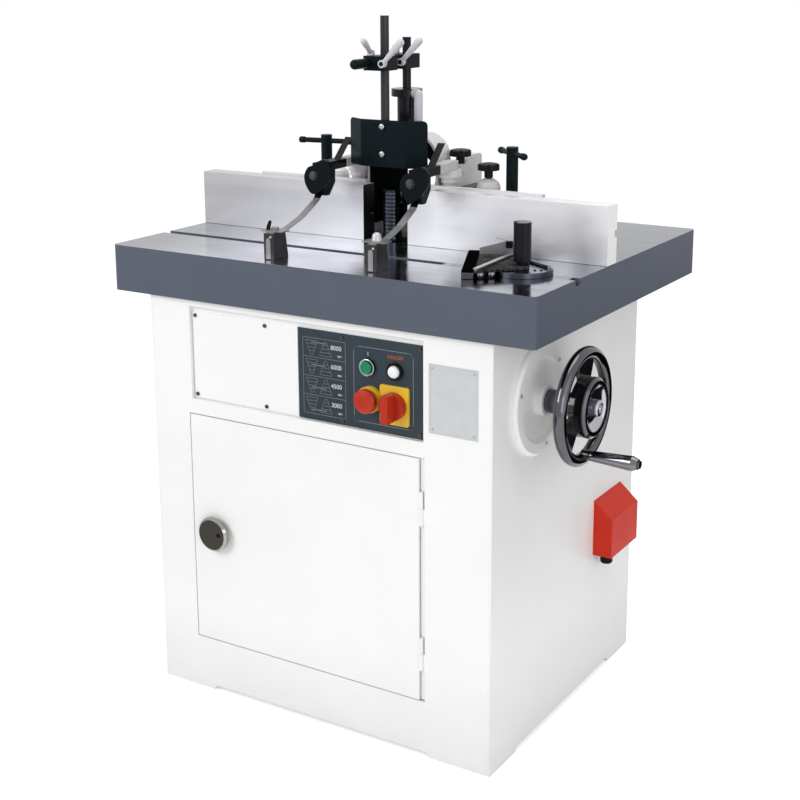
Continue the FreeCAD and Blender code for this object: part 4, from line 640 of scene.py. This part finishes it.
def blank_card():
    # Bare plate with a raised border and four rivets
    wall = -295.0
    thick = 0.6
    face = wall - thick
    left, right, low, high = 238.0, 330.0, 596.0, 715.0
    card = bmesh.new()
    corners = [mm(x, wall, z) for x, z in ((left, low), (right, low), (right, high), (left, high))]
    add_prism(card, corners, mm(0, -thick, 0))
    rim = 3.0
    rim_rise = 0.3
    rivet_in = 7
    bands = ((left, right, low, low + rim), (left, right, high - rim, high),
             (left, left + rim, low + rim, high - rim), (right - rim, right, low + rim, high - rim))
    for x0, x1, z0, z1 in bands:
        edge = [mm(x, face, z) for x, z in ((x0, z0), (x1, z0), (x1, z1), (x0, z1))]
        add_prism(card, edge, mm(0, -rim_rise, 0))
    finish_piece("blank_card", card, "machine", card_look)
    rivets = bmesh.new()
    for x in (left + rivet_in, right - rivet_in):
        for z in (low + rivet_in, high - rivet_in):
            add_screw(rivets, mm(x, face, z), -Y_AXIS, 0.0022, 0.0012)
    finish_piece("blank_card_rivets", rivets, "machine", looks["fastener_steel"])


def hinge_strip():
    # Folded edge of the door frame, seen through the hinge gap
    strip = bmesh.new()
    outline = ((219.2, -290.5), (227, -290.5), (227, -286), (226, -286), (226, -289.5), (219.2, -289.5))
    low, high = 106, 547
    add_prism(strip, [mm(x, y, low) for x, y in outline], mm(0, 0, high - low))
    finish_piece("hinge_strip", strip, "machine", looks["cabinet_white"])


def plate_section(front, back, low, high, cut):
    # Section of a fence plate in (y, z), with cut corners and room for the key in its rear groove
    slot_low, slot_high, slot_front = 895.7, 908.3, -9.3
    return ((front + cut, low), (back - cut, low), (back, low + cut), (back, slot_low),
            (slot_front, slot_low), (slot_front, slot_high), (back, slot_high), (back, high - cut),
            (back - cut, high), (front + cut, high), (front, high - cut), (front, low + cut))


def plate_end_shades():
    # Black sheets on the ends of the fence plates that face the cutter, painted shade where the ends lie in
    # shadow
    outline = plate_section(-34.8, 0.8, 850.6, 953.0, 2.0)
    for name, start, push in (("left", -57.0, 0.9), ("right", 39.0, -0.9)):
        cap = bmesh.new()
        add_prism(cap, [mm(start, y, z) for y, z in outline], mm(push, 0, 0))
        finish_piece(name + "_plate_end_shade", cap, name + "_plate", looks["black_plastic"])


def gland_sleeve():
    # Ribbed black nut round the cable entry
    sleeve = bmesh.new()
    bore, root, crest, top = 0.0062, 0.0112, 0.0118, 0.018
    loop = [(bore, 0.0), (0.0098, 0.0), (root, 0.0016)]
    for i in range(4):
        height = 0.003 + 0.0034 * i
        loop += [(crest, height), (crest, height + 0.0017)]
        loop += [(root, height + 0.0021), (root, height + 0.003)]
    loop += [(root, top), (bore, top)]
    add_ring(sleeve, loop, mm(376, 136, 238.5), Z_AXIS)
    finish_piece("gland_sleeve", sleeve, "machine", looks["black_plastic"])


def knob_lock():
    # Small lock set in the face of the door knob
    lock = bmesh.new()
    profile = [(0.0045, 0), (0.0045, 0.0006), (0.0036, 0.0011), (0.0030, 0.0011),
               (0.0028, 0.0004), (0.0004, 0.0003)]
    add_turned(lock, profile, mm(-203, -312.2, 327), -Y_AXIS, 24)
    finish_piece("knob_lock", lock, "door_latch", looks["black_steel"])


# Pivot line and turn in degrees of each hold-down
HOLDS = {"left": (mm(-112, 36, 0), 3.0), "right": (mm(88, 36, 0), 5.0)}


def on_hold(pivot, degrees, x, y, z):
    # Point on a hold-down, given from its pivot line before the small turn
    turn = Matrix.Rotation(math.radians(degrees), 3, "Z")
    return pivot + turn @ (mm(x, y, z) - Vector((0, pivot.y, 0)))


def hold_fittings():
    # Pins, faces and bolts on both hold-downs, a nut on the right shoe and a wing on the left one
    for name, (pivot, degrees) in HOLDS.items():
        body = name + "_hold_down"
        front = Matrix.Rotation(math.radians(degrees), 3, "Z") @ -Y_AXIS
        pin = bmesh.new()
        peg = [(0.0024, 0), (0.0024, 0.004), (0.0018, 0.0048), (0.0004, 0.005)]
        add_turned(pin, peg, on_hold(pivot, degrees, 5.5, -277.8, 891), front, 20)
        finish_piece(name + "_shoe_pin", pin, body, looks["fastener_steel"])
        face = bmesh.new()
        outline = ((-5.5, 852), (3.5, 852), (3.5, 884), (1.5, 888), (-3.5, 888), (-5.5, 884))
        add_prism(face, [on_hold(pivot, degrees, x, -277.9, z) for x, z in outline], front * 0.0007)
        finish_piece(name + "_shoe_face", face, body, dull_look)
        cheek = bmesh.new()
        head = [(0.0086, 0), (0.0086, 0.0012), (0.0066, 0.0016), (0.0066, 0.0046), (0.0056, 0.0056),
                (0.0008, 0.0058)]
        add_turned(cheek, head, on_hold(pivot, degrees, -5, -120, 977), front, 24)
        finish_piece(name + "_cheek_bolt", cheek, body, bolt_look)
    pivot, degrees = HOLDS["right"]
    nut = bmesh.new()
    dome = [(0.0088, 0), (0.0088, 0.0035), (0.0078, 0.0055), (0.0078, 0.0085), (0.0066, 0.0115),
            (0.0040, 0.0138), (0.0010, 0.0146)]
    add_turned(nut, dome, on_hold(pivot, degrees, 0, -257, 900), Z_AXIS, 24)
    finish_piece("right_shoe_nut", nut, "right_hold_down", satin_look)
    pivot, degrees = HOLDS["left"]
    wing = bmesh.new()
    outline = ((-16, 899.5), (-9, 899.5), (-8, 905), (-5.5, 913), (-7, 917), (-10, 916), (-14, 907))
    thick = Matrix.Rotation(math.radians(degrees), 3, "Z") @ Y_AXIS * 0.003
    add_prism(wing, [on_hold(pivot, degrees, x, -262, z) for x, z in outline], thick)
    finish_piece("left_shoe_wing", wing, "left_hold_down", looks["black_steel"])


def on_gauge(x, y, z):
    # Point on the turned gauge head, given from its pivot
    return mm(GAUGE_X, GAUGE_Y, 0) + Matrix.Rotation(GAUGE_TURN, 3, "Z") @ mm(x, y, z)


def add_nut(mesh, place, radius, height):
    # Hexagon nut with the end of its stud
    outline = []
    for i in range(6):
        turn = math.radians(60 * i)
        outline.append(place + Vector((radius * math.cos(turn), radius * math.sin(turn), 0)))
    add_prism(mesh, outline, Vector((0, 0, height)))
    top = height * 1.7
    stud = [(radius * 0.55, 0), (radius * 0.55, height * 1.5), (radius * 0.45, top), (radius * 0.1, top)]
    add_turned(mesh, stud, place, Z_AXIS, 20)


def gauge_fittings():
    # Nuts on the disc, then rule, feet, clip and wire on the turned head
    nuts = bmesh.new()
    for x, y in ((355, -176.5), (363, -164.5), (372, -159.5)):
        add_nut(nuts, mm(x, y, 854), 0.0042, 0.004)
    finish_piece("gauge_nuts", nuts, "mitre_slide", looks["black_steel"])
    rule = bmesh.new()
    outline = ((-78, -56), (-70, -59), (-15, 79), (-16, 83), (-22, 83))
    add_prism(rule, [on_gauge(x, y, 866.7) for x, y in outline], mm(0, 0, 1.3))
    finish_piece("gauge_rule", rule, "mitre_head", dull_look)
    feet = bmesh.new()
    foot = [(0.0060, 0), (0.0072, 0.0014), (0.0076, 0.0047), (0.0072, 0.0080), (0.0060, 0.0094)]
    for x, y in ((-67, -48), (-49, -40.5)):
        add_turned(feet, foot, on_gauge(x, y, 850.7), Z_AXIS, 40)
    toe = ((-96.5, -57.9), (-76.5, -57.9), (-78, -60.5), (-86.5, -61.5), (-95, -60.5))
    add_prism(feet, [on_gauge(x, y, 850.8) for x, y in toe], mm(0, 0, 10))
    finish_piece("gauge_feet", feet, "mitre_head", looks["bright_chrome"])
    clip = bmesh.new()
    outline = ((-31, 876), (-20, 876), (-19, 878), (-19, 888), (-29, 888), (-31, 886))
    front, back = 79.6, 84.1
    push = on_gauge(0, back, 0) - on_gauge(0, front, 0)
    add_prism(clip, [on_gauge(x, front, z) for x, z in outline], push)
    finish_piece("gauge_clip", clip, "mitre_head", looks["black_steel"])
    wire = [on_gauge(-25, 82, 887.6), on_gauge(-35, 94, 888.6), on_gauge(-48, 108, 888.2)]
    add_wire("gauge_wire", wire, 0.0008, "mitre_head", looks["fastener_steel"])


# Clamping levers: name, root of the shell, its direction, the way its screw faces, share of full size
LEVERS = (("front_lever", (1, -56.8, 1178), (0.7071, 0, 0.7071), (0, -1, 0), 1.0),
          ("rear_lever", (1, 7.2, 1178), (0.7071, 0, 0.7071), (0, -1, 0), 1.0),
          ("arm_lever", (-34, -40, 1195.8), (0.2801, -0.8619, 0.4226), (0, 0, 1), 0.86))


def lever_fittings():
    # Tapered shells and socket screws of the levers, and the clamp bolt beside them
    for name, root, along, outward, size in LEVERS:
        shell = bmesh.new()
        fat = 0.0068 * size
        profile = [(0.0042, 0.005), (0.0045, 0.014), (fat, 0.048), (fat, 0.054), (fat * 0.8, 0.0585),
                   (fat * 0.4, 0.0605), (0.0006, 0.061)]
        add_turned(shell, profile, mm(*root), Vector(along), 28)
        finish_piece(name + "_shell", shell, name, lever_look)
        socket = bmesh.new()
        recess = [(0.0040, 0), (0.0040, 0.0007), (0.0031, 0.0009), (0.0024, 0.0002), (0.0004, 0.0001)]
        add_turned(socket, recess, mm(*root) + Vector(outward) * 0.0045, Vector(outward), 24)
        finish_piece(name + "_socket", socket, name, looks["black_steel"])
    bolt = bmesh.new()
    cap = [(0.0085, 0), (0.0085, 0.0015), (0.0068, 0.0018), (0.0068, 0.0135), (0.0058, 0.0148),
           (0.0042, 0.0148), (0.0038, 0.0100), (0.0006, 0.0098)]
    add_turned(bolt, cap, mm(-34, 46, 1190.9), Z_AXIS, 28)
    finish_piece("clamp_bolt", bolt, "rear_clamp", satin_look)


def tee_caps():
    # Rounded ends on the cross bars of the clamp handles
    for name, x, degrees in (("left_clamp", -217, 8), ("right_clamp", 193, -40)):
        caps = bmesh.new()
        turn = math.radians(degrees)
        along = Vector((math.cos(turn), math.sin(turn), 0))
        end = [(0.0052, 0), (0.0063, 0.001), (0.0063, 0.009), (0.0052, 0.0117), (0.0012, 0.0128)]
        reach = 0.047
        for way in (-1, 1):
            add_turned(caps, end, mm(x, 80, 1015) + along * (reach * way), along * way, 24)
        finish_piece(name + "_caps", caps, name, looks["black_steel"])


def hub_fittings():
    # Polished dish in the hub of the handwheel and the cap on its nut, in chrome lighter than the wheel's
    # as a painted reflection
    dish = bmesh.new()
    loop = [(0.0396, 0.0108), (0.0396, 0.0001), (0.0154, 0.0001), (0.0154, 0.0022), (0.0230, 0.0026),
            (0.0320, 0.0052), (0.0370, 0.0088)]
    add_ring(dish, loop, mm(456, WHEEL_Y, WHEEL_Z), X_AXIS, 64)
    cap = [(0.0148, 0), (0.0148, 0.0022), (0.0128, 0.0042), (0.0098, 0.0050), (0.0086, 0.0050),
           (0.0078, 0.0016), (0.0008, 0.0012)]
    add_turned(dish, cap, mm(469.9, WHEEL_Y, WHEEL_Z), X_AXIS, 48)
    finish_piece("hub_dish", dish, "handwheel", hub_look)


def plate_cap():
    # Pale end of the right fence plate
    cap = bmesh.new()
    outline = plate_section(-34.6, 0.6, 850.8, 952.8, 1.5)
    add_prism(cap, [mm(434.9, y, z) for y, z in outline], mm(0.7, 0, 0))
    finish_piece("right_plate_cap", cap, "right_plate", looks["cabinet_white"])


dress_nodes()
control_marks()
hinge_strip()
plate_end_shades()
gland_sleeve()
knob_lock()
hold_fittings()
gauge_fittings()
lever_fittings()
tee_caps()
hub_fittings()
plate_cap()
start_ring()
guard_screws()
flange_screws()
blank_card()


# Floor, light and camera
FLOOR_GLOW = 0.56
WORLD_LEVEL = 0.55


def ray_share(tree):
    # 1 for what is seen directly, in a reflection or through glass
    rays = tree.nodes.new("ShaderNodeLightPath")
    total = rays.outputs["Is Camera Ray"]
    for name in ("Is Glossy Ray", "Is Transmission Ray"):
        most = tree.nodes.new("ShaderNodeMath")
        most.operation = "MAXIMUM"
        tree.links.new(total, most.inputs[0])
        tree.links.new(rays.outputs[name], most.inputs[1])
        total = most.outputs["Value"]
    return total


def make_floor():
    mesh = bmesh.new()
    reach = 200.0
    corners = ((-reach, -reach), (reach, -reach), (reach, reach), (-reach, reach))
    mesh.faces.new([mesh.verts.new((x, y, 0)) for x, y in corners])
    data = bpy.data.meshes.new("floor")
    mesh.to_mesh(data)
    mesh.free()
    floor = bpy.data.objects.new("floor", data)
    scene.collection.objects.link(floor)
    look = bpy.data.materials.new("floor_white")
    look.use_nodes = True
    tree = look.node_tree
    shader = tree.nodes["Principled BSDF"]
    shader.inputs["Base Color"].default_value = (0.8, 0.8, 0.8, 1)
    shader.inputs["Roughness"].default_value = 0.9
    shader.inputs["Specular IOR Level"].default_value = 0.0
    shader.inputs["Emission Color"].default_value = (1, 1, 1, 1)
    glow = tree.nodes.new("ShaderNodeMath")
    glow.operation = "MULTIPLY"
    glow.inputs[1].default_value = FLOOR_GLOW
    tree.links.new(ray_share(tree), glow.inputs[0])
    tree.links.new(glow.outputs["Value"], shader.inputs["Emission Strength"])
    data.materials.append(look)


def add_card(name, low, high, color):
    # Dark studio card lying by the object, there for the bright metal to mirror
    mesh = bmesh.new()
    corners = ((low[0], low[1]), (high[0], low[1]), (high[0], high[1]), (low[0], high[1]))
    mesh.faces.new([mesh.verts.new((x, y, 0.004)) for x, y in corners])
    data = bpy.data.meshes.new(name)
    mesh.to_mesh(data)
    mesh.free()
    data.materials.append(plastic(name, color, 0.8, 0.0).material)
    card = bpy.data.objects.new(name, data)
    scene.collection.objects.link(card)
    card.visible_camera = False
    card.visible_diffuse = False
    card.visible_shadow = False
    card.visible_transmission = False


def make_world():
    world = bpy.data.worlds.new("studio")
    world.use_nodes = True
    scene.world = world
    tree = world.node_tree
    background = tree.nodes["Background"]
    background.inputs["Color"].default_value = (1, 1, 1, 1)
    level = tree.nodes.new("ShaderNodeMapRange")
    level.inputs["To Min"].default_value = WORLD_LEVEL
    level.inputs["To Max"].default_value = 1.0
    tree.links.new(ray_share(tree), level.inputs["Value"])
    tree.links.new(level.outputs["Result"], background.inputs["Strength"])


def add_lamp(name, place, target, size, energy):
    data = bpy.data.lights.new(name, "AREA")
    data.shape = "SQUARE"
    data.size = size
    data.energy = energy
    lamp = bpy.data.objects.new(name, data)
    scene.collection.objects.link(lamp)
    lamp.location = place
    lamp.rotation_euler = (Vector(target) - Vector(place)).to_track_quat("-Z", "Y").to_euler()


def add_camera():
    # Station point and turn found from the straight edges of table and cabinet
    azimuth = math.radians(31.751)
    pitch = math.radians(12.998)
    roll = math.radians(-0.292)
    level = math.cos(pitch)
    back = Vector((math.sin(azimuth) * level, -math.cos(azimuth) * level, math.sin(pitch)))
    right = Z_AXIS.cross(back).normalized()
    up = back.cross(right)
    turn = Matrix((right, up, back)).transposed() @ Matrix.Rotation(roll, 3, "Z")
    data = bpy.data.cameras.new("camera")
    data.sensor_width = 36.0
    data.lens = 64.626
    data.shift_y = -0.125
    data.clip_end = 300.0
    camera = bpy.data.objects.new("camera", data)
    scene.collection.objects.link(camera)
    station = mm(1389.2, -2244.3, 1343.8)
    camera.matrix_world = Matrix.Translation(station) @ turn.to_4x4()
    scene.camera = camera


make_floor()
add_card("card_right", (0.7, 0.2), (3.2, 4.5), (0.012, 0.012, 0.013))
add_card("card_front", (-3.5, -3.5), (-0.5, -0.65), (0.16, 0.15, 0.14))
make_world()
add_lamp("key", (-2.0, -3.4, 2.8), (0, 0, 0.6), 2.2, 88)
add_lamp("top", (0.2, 0.4, 3.6), (0, 0, 0.8), 2.4, 45)
add_lamp("right", (3.6, -1.2, 1.6), (0.36, -0.1, 0.6), 3.2, 24)
add_lamp("fill", (3.0, -2.6, 1.3), (0.3, 0, 0.6), 1.6, 16)
add_camera()
